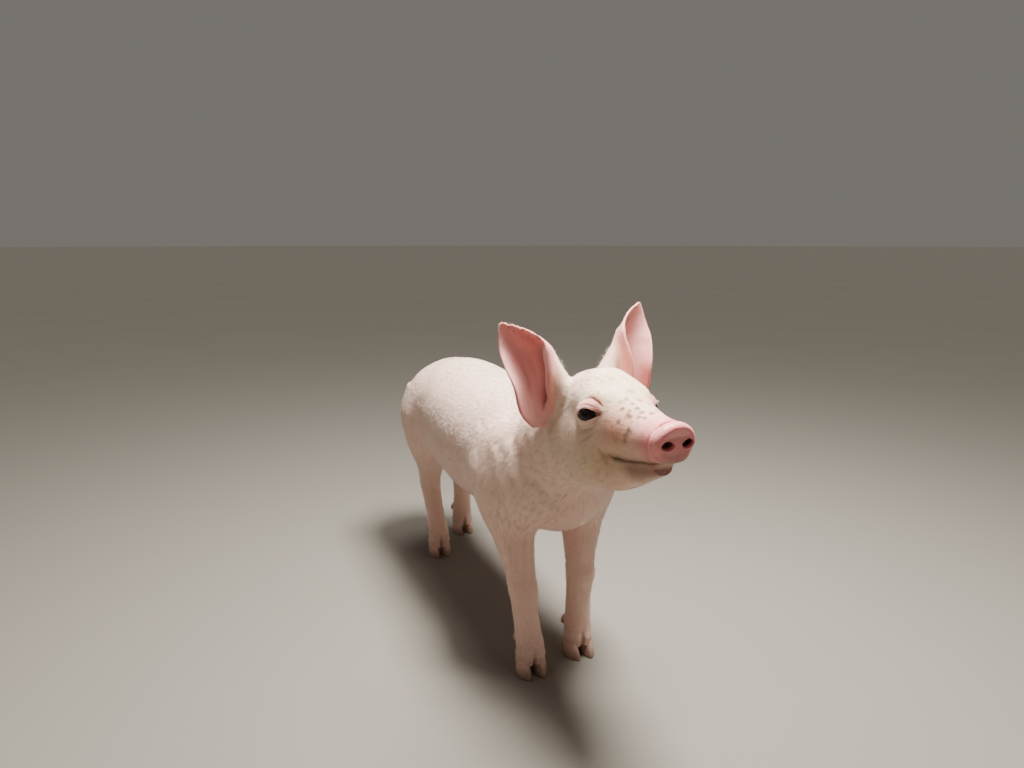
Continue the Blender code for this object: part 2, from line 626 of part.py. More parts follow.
def loose_pieces(mesh):
    """The separate closed meshes in one mesh, largest first."""
    bm = bmesh.new()
    bm.from_mesh(mesh)
    left = set(bm.verts)
    groups = []
    while left:
        stack, group = [left.pop()], []
        while stack:
            vert = stack.pop()
            group.append(vert.index)
            for edge in vert.link_edges:
                other = edge.other_vert(vert)
                if other in left:
                    left.remove(other)
                    stack.append(other)
        groups.append(set(group))
    bm.free()
    groups.sort(key=len, reverse=True)
    pieces = []
    for group in groups:
        piece = bmesh.new()
        piece.from_mesh(mesh)
        bmesh.ops.delete(piece, geom=[v for v in piece.verts if v.index not in group], context="VERTS")
        pieces.append(piece)
    return pieces


def material(name):
    colour, roughness = FINISH[name]
    made = bpy.data.materials.new(name)
    made.use_nodes = True
    shader = made.node_tree.nodes["Principled BSDF"]
    shader.inputs["Base Color"].default_value = colour
    shader.inputs["Roughness"].default_value = roughness
    shader.inputs["Metallic"].default_value = 0.0
    made.diffuse_color = colour
    return made


FLESH = ("head", "snout", "neck", "trunk", "tail", "ear_left", "ear_right",
         "foreleg_left", "foreleg_right", "hindleg_left", "hindleg_right")


def flesh_name(middle):
    """Which piece of the body has its middle here."""
    x, y, z = middle
    side = "left" if x > 0 else "right"
    at, along, _, _ = head_frame()
    if y > 0.255 and z > 0.20:
        return "tail"
    if z < 0.12:
        return ("foreleg_" if y < 0.05 else "hindleg_") + side
    if abs(x) > 0.035 and y < -0.12:
        return "ear_" + side
    if (Vector(middle) - at).dot(along) > SNOUT_CUT:
        return "snout"
    at, along, _, _ = neck_frame()
    reach = (Vector(middle) - at).dot(along)
    return "head" if reach > HEAD_CUT else "neck" if reach > NECK_CUT else "trunk"


def clear_scene():
    for obj in list(bpy.data.objects):
        bpy.data.objects.remove(obj)


def main():
    clear_scene()
    animal = bpy.data.collections.new("young_pig")
    cutters = bpy.data.collections.new("cutters")
    bpy.context.scene.collection.children.link(animal)
    bpy.context.scene.collection.children.link(cutters)
    finishes = {name: material(name) for name in FINISH}

    body = closed_body(cutters)
    small = []
    for leg, (_, fore, toe_x, toe_y) in LEGS.items():
        place = leg.replace("leg_", "_")
        for side, where in ((-1, "right"), (1, "left")):
            for kind, build in (("claw", claw_mesh), ("dewclaw", dewclaw_mesh)):
                carve(body, build(fore, side, (toe_x, toe_y), CUT), cutters)
                small.append((f"{kind}_{place}_{where}", build(fore, side, (toe_x, toe_y)), "claw"))
    for side, where in ((-1, "right"), (1, "left")):
        carve(body, eye_mesh(side, CUT), cutters)
        small.append((f"eye_{where}", eye_mesh(side), "eye"))
    for bm in cutting_slabs():
        carve(body, bm, cutters)

    flesh = []
    for piece in loose_pieces(body.data):
        corners = np.array([v.co for v in piece.verts])
        middle = (corners.min(axis=0) + corners.max(axis=0)) / 2
        name = flesh_name(middle)
        finish = {"ear": "ear_skin", "snout": "snout_skin"}.get(name.split("_")[0], "skin")
        flesh.append((name, piece, finish))
    if sorted(name for name, _, _ in flesh) != sorted(FLESH):
        raise RuntimeError("the cuts gave " + ", ".join(name for name, _, _ in flesh))
    bpy.data.objects.remove(body)

    parts = []
    for name, bm, finish in flesh + small:
        obj = new_object(name, bm, animal)
        obj.data.materials.clear()
        obj.data.materials.append(finishes[finish])
        parts.append(obj)

    corners = np.array([v.co for obj in parts for v in obj.data.vertices])
    low, high = corners.min(axis=0), corners.max(axis=0)
    shift = Matrix.Translation((-(low[0] + high[0]) / 2, -(low[1] + high[1]) / 2, -low[2]))
    for obj in parts:
        obj.data.transform(shift)


main()
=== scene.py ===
"""Skin, coat, eyes and claws of a standing young pig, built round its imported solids.

The solids give the animal out to the tips of its coat.  One skin stands for all of its flesh, and the
coat lies over that skin in tufts.  Metres, +Z up, snout towards -Y, the animal's left towards +X.
"""

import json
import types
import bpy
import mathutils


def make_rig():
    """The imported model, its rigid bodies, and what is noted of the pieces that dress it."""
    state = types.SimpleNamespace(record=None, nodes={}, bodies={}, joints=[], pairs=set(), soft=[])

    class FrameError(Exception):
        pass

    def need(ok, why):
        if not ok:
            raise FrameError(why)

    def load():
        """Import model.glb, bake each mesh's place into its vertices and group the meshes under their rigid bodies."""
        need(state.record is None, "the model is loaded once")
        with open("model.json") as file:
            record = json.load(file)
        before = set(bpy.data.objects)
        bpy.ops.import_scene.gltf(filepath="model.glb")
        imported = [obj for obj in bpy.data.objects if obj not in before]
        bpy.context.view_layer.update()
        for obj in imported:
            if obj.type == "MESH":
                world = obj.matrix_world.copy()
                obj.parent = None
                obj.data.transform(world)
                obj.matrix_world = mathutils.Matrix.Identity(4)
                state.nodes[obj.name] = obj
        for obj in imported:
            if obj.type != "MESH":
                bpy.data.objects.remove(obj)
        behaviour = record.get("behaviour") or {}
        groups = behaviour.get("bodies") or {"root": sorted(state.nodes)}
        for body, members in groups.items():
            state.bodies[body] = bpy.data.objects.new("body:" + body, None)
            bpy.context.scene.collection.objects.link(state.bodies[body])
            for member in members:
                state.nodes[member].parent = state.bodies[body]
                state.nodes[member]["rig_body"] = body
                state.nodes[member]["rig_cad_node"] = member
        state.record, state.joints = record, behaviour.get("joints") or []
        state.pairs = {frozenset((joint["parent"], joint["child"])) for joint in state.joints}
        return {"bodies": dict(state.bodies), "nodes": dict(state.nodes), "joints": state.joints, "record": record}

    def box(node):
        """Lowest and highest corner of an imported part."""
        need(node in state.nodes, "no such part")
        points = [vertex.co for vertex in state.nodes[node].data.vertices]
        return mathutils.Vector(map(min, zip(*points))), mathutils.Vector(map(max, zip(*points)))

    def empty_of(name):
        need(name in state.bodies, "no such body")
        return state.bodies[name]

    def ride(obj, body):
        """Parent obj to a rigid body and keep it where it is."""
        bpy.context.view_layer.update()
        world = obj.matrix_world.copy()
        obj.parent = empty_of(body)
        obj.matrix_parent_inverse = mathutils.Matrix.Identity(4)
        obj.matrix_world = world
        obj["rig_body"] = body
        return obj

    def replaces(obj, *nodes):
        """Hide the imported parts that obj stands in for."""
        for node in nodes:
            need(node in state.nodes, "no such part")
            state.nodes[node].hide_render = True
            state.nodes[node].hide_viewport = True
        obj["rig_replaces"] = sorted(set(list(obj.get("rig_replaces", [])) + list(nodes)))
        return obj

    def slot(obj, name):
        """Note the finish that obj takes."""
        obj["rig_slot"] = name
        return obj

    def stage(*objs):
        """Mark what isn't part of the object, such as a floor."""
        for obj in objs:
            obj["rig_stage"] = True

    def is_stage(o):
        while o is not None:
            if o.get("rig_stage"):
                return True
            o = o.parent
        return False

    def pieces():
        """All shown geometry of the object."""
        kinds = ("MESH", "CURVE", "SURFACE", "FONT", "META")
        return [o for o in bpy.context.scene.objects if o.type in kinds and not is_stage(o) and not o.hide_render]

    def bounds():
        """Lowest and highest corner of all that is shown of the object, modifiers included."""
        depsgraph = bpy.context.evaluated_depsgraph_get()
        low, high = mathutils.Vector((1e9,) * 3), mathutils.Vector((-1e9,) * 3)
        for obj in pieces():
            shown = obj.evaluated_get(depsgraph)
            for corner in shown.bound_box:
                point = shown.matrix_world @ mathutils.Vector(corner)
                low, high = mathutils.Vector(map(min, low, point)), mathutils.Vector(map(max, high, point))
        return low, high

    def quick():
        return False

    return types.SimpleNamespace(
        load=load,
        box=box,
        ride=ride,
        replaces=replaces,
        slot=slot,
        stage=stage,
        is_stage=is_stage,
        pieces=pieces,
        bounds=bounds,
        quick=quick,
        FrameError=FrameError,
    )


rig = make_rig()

bl_info = {
    "name": "Young Pig",
    "version": (1, 0, 0),
    "blender": (4, 5, 0),
    "location": "3D View > Sidebar > Young Pig",
    "description": "Skin, coat, eyes and claws of a standing young pig",
    "category": "Object",
}

import json
from concurrent.futures import ThreadPoolExecutor
from math import cos, pi, radians, sin

import bpy
import numpy as np
from bpy.props import FloatProperty, FloatVectorProperty, IntProperty, PointerProperty
from mathutils import Vector

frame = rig.load()

MM = 0.001
FAR = 0.05                      # distance given to points outside the box in which a shape is worked out
POWER = 2.15                    # of the super-ellipses that sections are
SIDES = ((-1, "right"), (1, "left"))
LEGS_ALL = [f"{end}leg_{side}" for end in ("fore", "hind") for side in ("left", "right")]
FLESH_NODES = ["head", "snout", "neck", "trunk", "tail", "ear_left", "ear_right", *LEGS_ALL]


def vec(*values):
    """An array of floats."""
    return np.array(values, float)


def unit(v):
    """The vector at length 1."""
    v = np.asarray(v, float)
    return v / np.linalg.norm(v)


# --- The body's plan: the same sections as its solids have, in the plan's own place ---
# along the back (+Y), height of the middle, half width, reach up, reach down
TRUNK = np.array([
    [-120, 200, 44, 44, 42],
    [-90, 202, 56, 58, 50],
    [-50, 203, 65, 66, 62],
    [0, 204, 67, 69, 71],
    [55, 205, 69, 70, 77],
    [110, 207, 69, 70, 75],
    [165, 210, 65, 68, 62],
    [212, 209, 55, 60, 50],
    [243, 205, 42, 47, 40]]) * MM
NECK_FROM = vec(0, -0.050, 0.208)
NECK_TO = vec(0, -0.185, 0.264)
# along the neck, middle, half width, reach up, reach down
NECK = np.array([
    [-30, 0, 50, 46, 46],
    [20, 0, 57, 49, 60],
    [65, -2, 53, 44, 59],
    [100, -2, 47, 44, 50],
    [140, -2, 40, 42, 42]]) * MM
HEAD_AT = vec(0, -0.236, 0.280)
HEAD_PITCH = radians(11)
# forward along the head, middle, half width, reach up, reach down
SKULL = np.array([
    [-62, 6, 27, 32, 24],
    [-45, 8, 34, 40, 34],
    [-22, 8, 33.5, 41, 36],
    [0, 2, 29.5, 37.5, 32],
    [18, -4, 25, 31, 25],
    [36, -8, 21.5, 25.5, 20],
    [54, -10, 18.8, 20, 17.5],
    [64, -10, 17.8, 17.5, 16.5],
    [71, -10, 17.8, 16.5, 16]]) * MM
JAW = np.array([
    [-55, -22, 26, 20, 22],
    [-35, -24, 31, 22, 28],
    [-10, -26, 28, 20, 28],
    [12, -28, 22, 14, 22],
    [34, -30, 15.5, 9, 13],
    [50, -30, 11.5, 7, 8],
    [58, -30, 8, 5, 5.5]]) * MM
CHEEK_AT, CHEEK_SIZE = (-0.028, 0.022, -0.017), (0.032, 0.016, 0.026)
BROW_AT, BROW_SIZE = (-0.010, 0.020, 0.022), (0.018, 0.008, 0.009)
DISC_AT = vec(0.0006, -0.3075, 0.2838)
DISC_SIZE = (0.0190, 0.0045, 0.0164)
DISC_ROUND = 3.7 * MM
DISC_TIP, DISC_TURN = radians(12), radians(6)
DISC_SWELL = 1.8 * MM
DISC_NARROW = 0.20
EYE_AT = vec(0.0262, -0.2307, 0.2912)
EYE_RADIUS = 8.8 * MM
SOCKET_AT, SOCKET_SIZE = (0.0221, -0.2279, 0.2912), (0.0080, 0.0080, 0.0080)
# along the ear, middle across, set back, radius of the roll, half width round the roll, thickness
EAR = np.array([
    [0, 5, 1, 16, 4, 3.2],
    [8, 8, 0, 16, 12, 3.4],
    [24, 12, -4, 15, 22, 3.4],
    [44, 16, -7, 18, 29, 3.0],
    [62, 15, -6, 23, 27, 2.6],
    [78, 9, -2, 28, 17, 2.4],
    [89, 3, 1, 30, 7.5, 2.2],
    [94, 0, 2, 30, 1.5, 2.0]]) * MM
# name: side, lobe, tip, way the hollow faces, low and high end of the ridge at its front, breadth
EARS = {
    "ear_right": (-1, vec(-0.049, -0.168, 0.268), vec(-0.067, -0.143, 0.3565), vec(-0.66, -0.75, 0),
                  vec(0.026, -0.186, 0.300), vec(0.0380, -0.178, 0.334), 1.0),
    "ear_left": (1, vec(0.0565, -0.164, 0.274), vec(0.0640, -0.148, 0.3705), vec(0.46, -0.89, 0),
                 vec(0.018, -0.174, 0.310), vec(0.0375, -0.168, 0.345), 1.10)}
EAR_ROOT = (vec(0.033, -0.172, 0.290), vec(0.036, -0.172, 0.326), 0.013, 0.008)
EAR_FRONT_RADII = (0.010, 0.0045)
# height, sideways shift, set back from the toe, half width, reach forward, reach back
FORE = np.array([
    [12, 0, 19, 14.2, 12.0, 12.0],
    [20, 0, 19, 15.0, 12.5, 12.5],
    [30, 0, 20, 14.8, 12.0, 12.5],
    [42, 0, 21, 13.6, 12.5, 12.5],
    [62, 0, 22, 13.6, 13.0, 13.0],
    [84, 0, 21, 15.4, 15.0, 14.5],
    [105, 0, 23, 16.2, 16.0, 16.5],
    [135, 1, 26, 21.0, 20.0, 22.0],
    [165, 2, 30, 26.5, 26.0, 29.0],
    [205, 3, 38, 28.0, 32.0, 32.0],
    [240, 0, 48, 20.0, 26.0, 28.0]]) * MM
HIND = np.array([
    [12, 0, 18, 13.6, 11.5, 12.0],
    [20, 0, 19, 14.4, 12.0, 12.5],
    [30, 0, 20, 14.2, 11.8, 12.5],
    [42, 0, 23, 13.0, 12.0, 12.5],
    [60, 0, 29, 12.5, 12.0, 13.0],
    [78, 0, 35, 13.5, 13.0, 14.5],
    [92, 0, 37, 14.0, 15.0, 15.0],
    [110, 1, 30, 16.0, 19.0, 18.0],
    [135, 3, 14, 21.0, 26.0, 26.0],
    [165, 5, 6, 27.0, 38.0, 38.0],
    [200, 6, 4, 30.0, 44.0, 48.0],
    [235, 4, 10, 24.0, 40.0, 44.0]]) * MM
FORE_HIP, HIND_HIP = (0.042, -0.1155), (0.034, 0.208)
LEG_LEAVES_FOOT, LEG_REACHES_HIP = 0.030, 0.200
LEG_DRAWN_IN, DRAWN_FROM, DRAWN_TO = 7 * MM, 0.203, 0.240        # how far, and between which heights
# name: side, fore leg, toe sideways, toe along the body
LEGS = {
    "foreleg_right": (-1, True, -0.0270, -0.134),
    "foreleg_left": (1, True, 0.0338, -0.119),
    "hindleg_right": (-1, False, -0.027, 0.184),
    "hindleg_left": (1, False, 0.029, 0.252)}
HEEL_AT, HEEL_SIZE = (0.0065, 0.0275, 0.0095), (0.0062, 0.0062, 0.0070)
RUMP = ((0, 0.216, 0.208), (0.053, 0.060, 0.058), 0.020)
BRISKET = ((0, -0.125, 0.190), (0.042, 0.042, 0.038), 0.020)
SHOULDER = ((0.042, -0.092, 0.200), (0.028, 0.044, 0.052), 0.020)
HAM = ((0.036, 0.203, 0.190), (0.030, 0.052, 0.060), 0.025)
TAIL_ROOT = vec(0, 0.246, 0.246)
TAIL_LINK = 0.0165
TAIL_TURN = (radians(24), radians(-12), radians(-52), radians(-78), radians(-62))
TAIL_RADII = (0.0120, 0.0088, 0.0068, 0.0054, 0.0043, 0.0034)
CLAW_LENGTH = {True: 0.027, False: 0.0255}
CLAW_WIDTH = {True: 0.0142, False: 0.0134}
CLAW_GAP = 3.2 * MM
CLAW_HEIGHT, CLAW_HEEL_HEIGHT = 0.0175, 0.0115
CLAW_LEAN = 0.0085
CLAW_SPLAY = radians(9)
DEWCLAW_AT = {True: (0.0088, 0.0328, 0.0335), False: (0.0084, 0.0338, 0.0350)}
DEWCLAW_SIZE = vec(0.0037, 0.0040, 0.0068)

# The solids stand with their box's base middle at the origin.  The left eye says how far the plan moved.
_low, _high = (np.array(corner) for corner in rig.box("eye_left"))
SHIFT = (_low + _high) / 2 - EYE_AT
HEAD_ALONG = vec(0, -cos(HEAD_PITCH), sin(HEAD_PITCH))
HEAD_UP = vec(0, sin(HEAD_PITCH), cos(HEAD_PITCH))


def curve(table, column, at):
    """Smooth curve through one column of a table, a cubic between rows that never overshoots them."""
    x, y = table[:, 0], table[:, column]
    step = np.diff(x)
    slope = np.diff(y) / step
    tangent = np.zeros_like(y)
    tangent[0], tangent[-1] = slope[0], slope[-1]
    w1, w2 = 2 * step[1:] + step[:-1], step[1:] + 2 * step[:-1]
    safe = np.where(slope == 0, 1, slope)
    tangent[1:-1] = np.where(slope[:-1] * slope[1:] <= 0, 0, (w1 + w2) / (w1 / safe[:-1] + w2 / safe[1:]))
    at = np.clip(at, x[0], x[-1])
    i = np.clip(np.searchsorted(x, at, side="right") - 1, 0, len(step) - 1)
    t = (at - x[i]) / step[i]
    return (y[i] * (1 + 2 * t) * (1 - t) ** 2 + tangent[i] * step[i] * t * (1 - t) ** 2
            + y[i + 1] * t * t * (3 - 2 * t) + tangent[i + 1] * step[i] * t * t * (t - 1))


def join(a, b, soft):
    """Union of two distances with a fillet about `soft` wide."""
    h = np.clip(0.5 + 0.5 * (b - a) / soft, 0, 1)
    return b * (1 - h) + a * h - soft * h * (1 - h)


def cut_out(a, b, soft):
    """Distance a with b taken out of it, and the edge rounded over `soft`."""
    return -join(-a, b, soft)


def bell(x, width):
    """1 at nought, falling to a third at `width`."""
    return np.exp(-(x / width) ** 2)


def ramp(x, low, high):
    """Smooth step from 0 at low to 1 at high."""
    t = np.clip((x - low) / (high - low), 0, 1)
    return t * t * (3 - 2 * t)


def ball_distance(p, middle, size):
    """Near enough the distance to an ellipsoid.

    It is a (a - 1) / b, with a the length of q / size and b the length of q / size ** 2.
    """
    q, size = p - np.array(middle), np.array(size)
    k0 = np.linalg.norm(q / size, axis=1) + 1e-9
    k1 = np.linalg.norm(q / size ** 2, axis=1) + 1e-9
    return k0 * (k0 - 1) / k1


def section_distance(along, across, up, table):
    """Distance to a loft whose sections are super-ellipses read from a table."""
    mid_across, mid_up, wide, above, below = (curve(table, i, along) for i in range(1, 6))
    x, z = across - mid_across, up - mid_up
    tall = np.where(z > 0, above, below)
    away = np.hypot(x, z) + 1e-9
    ratio = ((np.abs(x) / wide) ** POWER + (np.abs(z) / tall) ** POWER) ** (1 / POWER) + 1e-9
    flat = np.where(ratio < 1e-3, -np.minimum(wide, tall), away * (1 - 1 / ratio))
    over = np.maximum(np.maximum(table[0, 0] - along, along - table[-1, 0]), 0)
    return np.where(over > 0, np.hypot(np.maximum(flat, 0), over), flat)


def rod_distance(p, start, end, start_radius, end_radius):
    """Distance to a round-ended rod whose radius changes evenly from start to end."""
    line = end - start
    t = np.clip((p - start) @ line / (line @ line), 0, 1)
    radius = start_radius + (end_radius - start_radius) * t
    return np.linalg.norm(p - start - t[:, None] * line, axis=1) - radius


def wider(table):
    """The table with a column of noughts for the sideways shift of its sections."""
    return np.insert(table, 1, 0, axis=1)


def near(p, low, high, distance):
    """A distance worked out only inside a box, and large outside it."""
    inside = ((p > np.array(low)) & (p < np.array(high))).all(axis=1)
    result = np.full(len(p), FAR)
    if inside.any():
        result[inside] = distance(p[inside])
    return result


def mirrored(p):
    """The points folded over to the animal's left."""
    return np.column_stack([np.abs(p[:, 0]), p[:, 1], p[:, 2]])


def head_places(p):
    """Forward along the head, sideways, and up from the line of the mouth."""
    q = p - HEAD_AT
    return q @ HEAD_ALONG, q[:, 0], q @ HEAD_UP


def neck_places(p):
    """Along the neck, sideways, and up from its line."""
    along = unit(NECK_TO - NECK_FROM)
    q = p - NECK_FROM
    return q @ along, q[:, 0], q @ vec(0, along[2], -along[1])


def ear_axes(name):
    """Along the ear, across it towards its front edge, and out of its hollow."""
    _, lobe, tip, face, *_ = EARS[name]
    along = unit(tip - lobe)
    out = unit(face - along * (face @ along))
    across = np.cross(along, out)
    return along, across if across[1] < 0 else -across, out


def ear_places(p, name, edge=0.0):
    """Along the ear in the table's lengths, round its roll (-1 to 1 edge to edge), depth, distance to rims.

    With an edge, the last but one is the distance to a line that far inside the front rim and its hollow.
    """
    _, lobe, tip, *_, breadth = EARS[name]
    axes = ear_axes(name)
    q = p - lobe
    along = q @ axes[0] * EAR[-1, 0] / np.linalg.norm(tip - lobe)
    mid_across, mid_out, roll, half, thick = (curve(EAR, i, along) for i in range(1, 6))
    x, z = q @ axes[1] - mid_across, q @ axes[2] - mid_out - roll
    angle, limit = np.arctan2(x, -z), half * breadth / roll
    at, reach = limit - edge / roll, roll - 0.75 * edge
    rim = np.hypot(x - reach * np.sin(at) * np.sign(angle), z + reach * np.cos(at))
    return along, angle / limit, np.hypot(x, z) - roll, rim, thick


def leg_table(name):
    """A leg's sections at their places, between the toe's place low down and the hip's high up."""
    side, fore, toe_x, toe_y = LEGS[name]
    table = FORE if fore else HIND
    hip_x, hip_y = FORE_HIP if fore else HIND_HIP
    share = np.clip((table[:, 0] - LEG_LEAVES_FOOT) / (LEG_REACHES_HIP - LEG_LEAVES_FOOT), 0, 1)
    middle_x = toe_x + (side * hip_x - toe_x) * share + side * table[:, 1]
    middle_y = toe_y + (hip_y - toe_y) * share + table[:, 2]
    return np.column_stack([table[:, 0], middle_x, -middle_y, table[:, 3], table[:, 4], table[:, 5]])


def tail_points():
    """Ends of the tail's links, each link turned by its own angle."""
    points = [TAIL_ROOT]
    for turn in TAIL_TURN:
        points.append(points[-1] + vec(0, cos(turn), sin(turn)) * TAIL_LINK)
    return points


def disc_places(p):
    """Sideways, back and up in the disc's own directions."""
    q = p - DISC_AT
    x = q[:, 0] * cos(DISC_TURN) + q[:, 1] * sin(DISC_TURN)
    y = q[:, 1] * cos(DISC_TURN) - q[:, 0] * sin(DISC_TURN)
    return x, y * cos(DISC_TIP) + q[:, 2] * sin(DISC_TIP), q[:, 2] * cos(DISC_TIP) - y * sin(DISC_TIP)


def disc_distance(p):
    """The snout's disc: a plate with a round edge, narrower below and swelling in front."""
    x, y, z = disc_places(p)
    wide, thick, tall = DISC_SIZE
    x = x / (1 - DISC_NARROW * np.clip(-z / tall, 0, 1))
    ratio = np.hypot(x / wide, z / tall) + 1e-9
    radial = np.hypot(x, z) * (1 - 1 / ratio) + DISC_ROUND
    through = np.abs(y) - np.where(y < 0, DISC_SWELL * np.clip(1 - ratio ** 2, 0, 1), 0) - thick + DISC_ROUND
    outside = np.hypot(np.maximum(radial, 0), np.maximum(through, 0))
    return outside + np.minimum(np.maximum(radial, through), 0) - DISC_ROUND


def head_distance(p):
    """Skull and jaw, joined with cheeks, brows, eye sockets and the snout's disc."""
    along, across, up = head_places(p)
    d = section_distance(along, across, up, wider(SKULL))
    d = join(d, section_distance(along, across, up, wider(JAW)), 0.007)
    folded = np.column_stack([along, np.abs(across), up])
    d = join(d, ball_distance(folded, CHEEK_AT, CHEEK_SIZE), 0.015)
    d = join(d, ball_distance(folded, BROW_AT, BROW_SIZE), 0.012)
    d = join(d, ball_distance(mirrored(p), SOCKET_AT, SOCKET_SIZE), 0.010)
    return join(d, disc_distance(p), 0.004)


def leg_distance(p, name):
    """One leg with its heel's pad, drawn in where it enters the trunk."""
    _, _, toe_x, toe_y = LEGS[name]
    d = section_distance(p[:, 2], p[:, 0], -p[:, 1], leg_table(name))
    d = d + LEG_DRAWN_IN * ramp(p[:, 2], DRAWN_FROM, DRAWN_TO)
    folded = np.column_stack([np.abs(p[:, 0] - toe_x), p[:, 1] - toe_y, p[:, 2]])
    return join(d, ball_distance(folded, HEEL_AT, HEEL_SIZE), 0.005)


def ear_distance(p, name):
    """One ear: a leaf bent round its roll, with the root and the ridge at its front."""
    side, _, _, _, low, high, _ = EARS[name]
    along, turn, depth, rim, thick = ear_places(p, name)
    flat = np.where(np.abs(turn) <= 1, np.abs(depth), rim)
    over = np.maximum(np.maximum(-along, along - EAR[-1, 0]), 0)
    own = p * vec(side, 1, 1)
    root = join(rod_distance(own, *EAR_ROOT), rod_distance(own, low, high, *EAR_FRONT_RADII), 0.006)
    return join(np.hypot(flat, over) - thick / 2, root, 0.008)


def tail_distance(p):
    """The tail: rods that taper from link to link."""
    points = tail_points()
    d = rod_distance(p, points[0], points[1], TAIL_RADII[0], TAIL_RADII[1])
    for i in range(1, len(TAIL_TURN)):
        d = join(d, rod_distance(p, points[i], points[i + 1], TAIL_RADII[i], TAIL_RADII[i + 1]), 0.003)
    return d


def flesh_distance(p):
    """Signed distance to the smooth body, negative inside: lofts and balls joined with fillets."""
    folded = mirrored(p)
    d = section_distance(p[:, 1], p[:, 0], p[:, 2], wider(TRUNK))
    d = join(d, ball_distance(p, *RUMP[:2]), RUMP[2])
    d = join(d, near(p, (-0.16, -0.32, 0.06), (0.16, 0.08, 0.40),
                     lambda q: section_distance(*neck_places(q), wider(NECK))), 0.030)
    d = join(d, ball_distance(p, *BRISKET[:2]), BRISKET[2])
    d = join(d, ball_distance(folded, *SHOULDER[:2]), SHOULDER[2])
    d = join(d, ball_distance(folded, *HAM[:2]), HAM[2])
    for name, (side, fore, _, _) in LEGS.items():
        low = (-0.12 if side < 0 else -0.03, -0.22 if fore else 0.08, -0.03)
        high = (0.03 if side < 0 else 0.12, 0.02 if fore else 0.36, 0.29)
        d = join(d, near(p, low, high, lambda q: leg_distance(q, name)), 0.016)
    d = join(d, near(p, (-0.10, -0.36, 0.16), (0.10, -0.10, 0.38), head_distance), 0.022)
    for name, (side, *_) in EARS.items():
        low, high = (-0.12 if side < 0 else 0.0, -0.22, 0.24), (0.0 if side < 0 else 0.12, -0.10, 0.40)
        d = join(d, near(p, low, high, lambda q: ear_distance(q, name)), 0.007)
    return join(d, near(p, (-0.05, 0.20, 0.18), (0.05, 0.33, 0.30), tail_distance), 0.008)


# --- What the skin adds to the smooth body: lids, nostrils, mouth, folds, ridges of the ears, toes, teats ---
EYE_OUT = unit((0.815, -0.575, 0.05))                     # the way the left eye looks
EYE_NOSE = unit(np.cross(np.cross(EYE_OUT, unit((-0.576, -0.816, 0.13))), EYE_OUT))
EYE_UP = np.cross(EYE_NOSE, EYE_OUT) * (1 if np.cross(EYE_NOSE, EYE_OUT)[2] > 0 else -1)
OPENING_FRONT, OPENING_BACK = 11.8 * MM, 9.0 * MM         # corners of the eye from its middle
OPENING_UP, OPENING_DOWN = 5.7 * MM, 4.3 * MM
LID_OVER_EYE = 1.2 * MM
LID_UNDER_EYE = 0.9 * MM
CREASE_TOP, CREASE_AT = 12.8 * MM, 1.5 * MM               # height and place of the top of the lid's crease
CREASE_FRONT, CREASE_BACK = 17.5 * MM, 15.5 * MM
# wrinkles below the eye: height under the eye's middle, slope, depth, width
WRINKLES = np.array([[-7.6, 0.20, 0.30, 0.9], [-11.8, 0.36, 0.60, 1.6], [-15.0, 0.44, 0.22, 1.2],
                     [-18.2, 0.46, 0.70, 1.7], [-22.5, 0.50, 0.25, 1.4]]) * [MM, 1, MM, MM]
NOSTRIL_AT, NOSTRIL_SIZE = (0.0092, 0.0004), (0.0054, 0.0035)
NOSTRIL_SHIFT = 0.0014
NOSTRIL_DEEP = 13 * MM
NOSTRIL_TILT = radians(14)
# along the head, height of the line of the mouth
MOUTH = np.array([
    [10, -19.5], [15, -21.6], [20, -23.2], [34, -24.6], [48, -24.6], [60, -25.2], [80, -25.6]]) * MM
MOUTH_CORNER = vec(19, -20, -23) * MM
TEAT_FROM, TEAT_STEP, TEATS, TEAT_OUT = -0.055, 0.037, 7, 0.024
EAR_EDGE = 2.9 * MM             # from the rim to the middle of its roll
# place round the roll at the lobe, how far it fans by the tip, height
EAR_RIDGES = np.array([[-0.42, -0.10, 0.55], [-0.05, -0.22, 0.75], [0.25, -0.25, 0.75], [0.50, -0.15, 0.5]]) * [
    1, 1, MM]
# foot and top of each ear's canal, both as on the left
CANAL = {
    "ear_right": (vec(0.0447, -0.1790, 0.2965), vec(0.0462, -0.1705, 0.3440)),
    "ear_left": (vec(0.0490, -0.1765, 0.3030), vec(0.0505, -0.1680, 0.3500))}


def head_share(p, back, front, top=0.235):
    """1 on the head, falling to 0 behind it between `front` and `back`, and below it."""
    return ramp(-p[:, 1], back, front) * ramp(p[:, 2], 0.20, top)


def mouth_height(u):
    """Height of the line of the mouth at a place along the head."""
    return np.interp(u, MOUTH[:, 0], MOUTH[:, 1])


def beside_ear(p, side):
    """Whether each point lies in the box round the ear of one side."""
    return (side * p[:, 0] > 0.012) & (p[:, 2] > 0.25) & (p[:, 1] > -0.22) & (p[:, 1] < -0.10)


def on_tail(p):
    """Whether each point lies on the tail, behind its root."""
    return (p[:, 1] > 0.264) & (p[:, 2] > 0.16)


def turn_share(across, up):
    """Turn about an axis, from 0 to 1."""
    return np.arctan2(across, up) / (2 * pi) + 0.5


def eye_axes(side):
    """Towards the nose, up and out for the eye of one side."""
    return [way * vec(side, 1, 1) for way in (EYE_NOSE, EYE_UP, EYE_OUT)]


def eye_places(p):
    """Towards the nose, up and out from the middle of the near eye, and distance from it."""
    q = mirrored(p) - EYE_AT
    return q @ EYE_NOSE, q @ EYE_UP, q @ EYE_OUT, np.linalg.norm(q, axis=1)


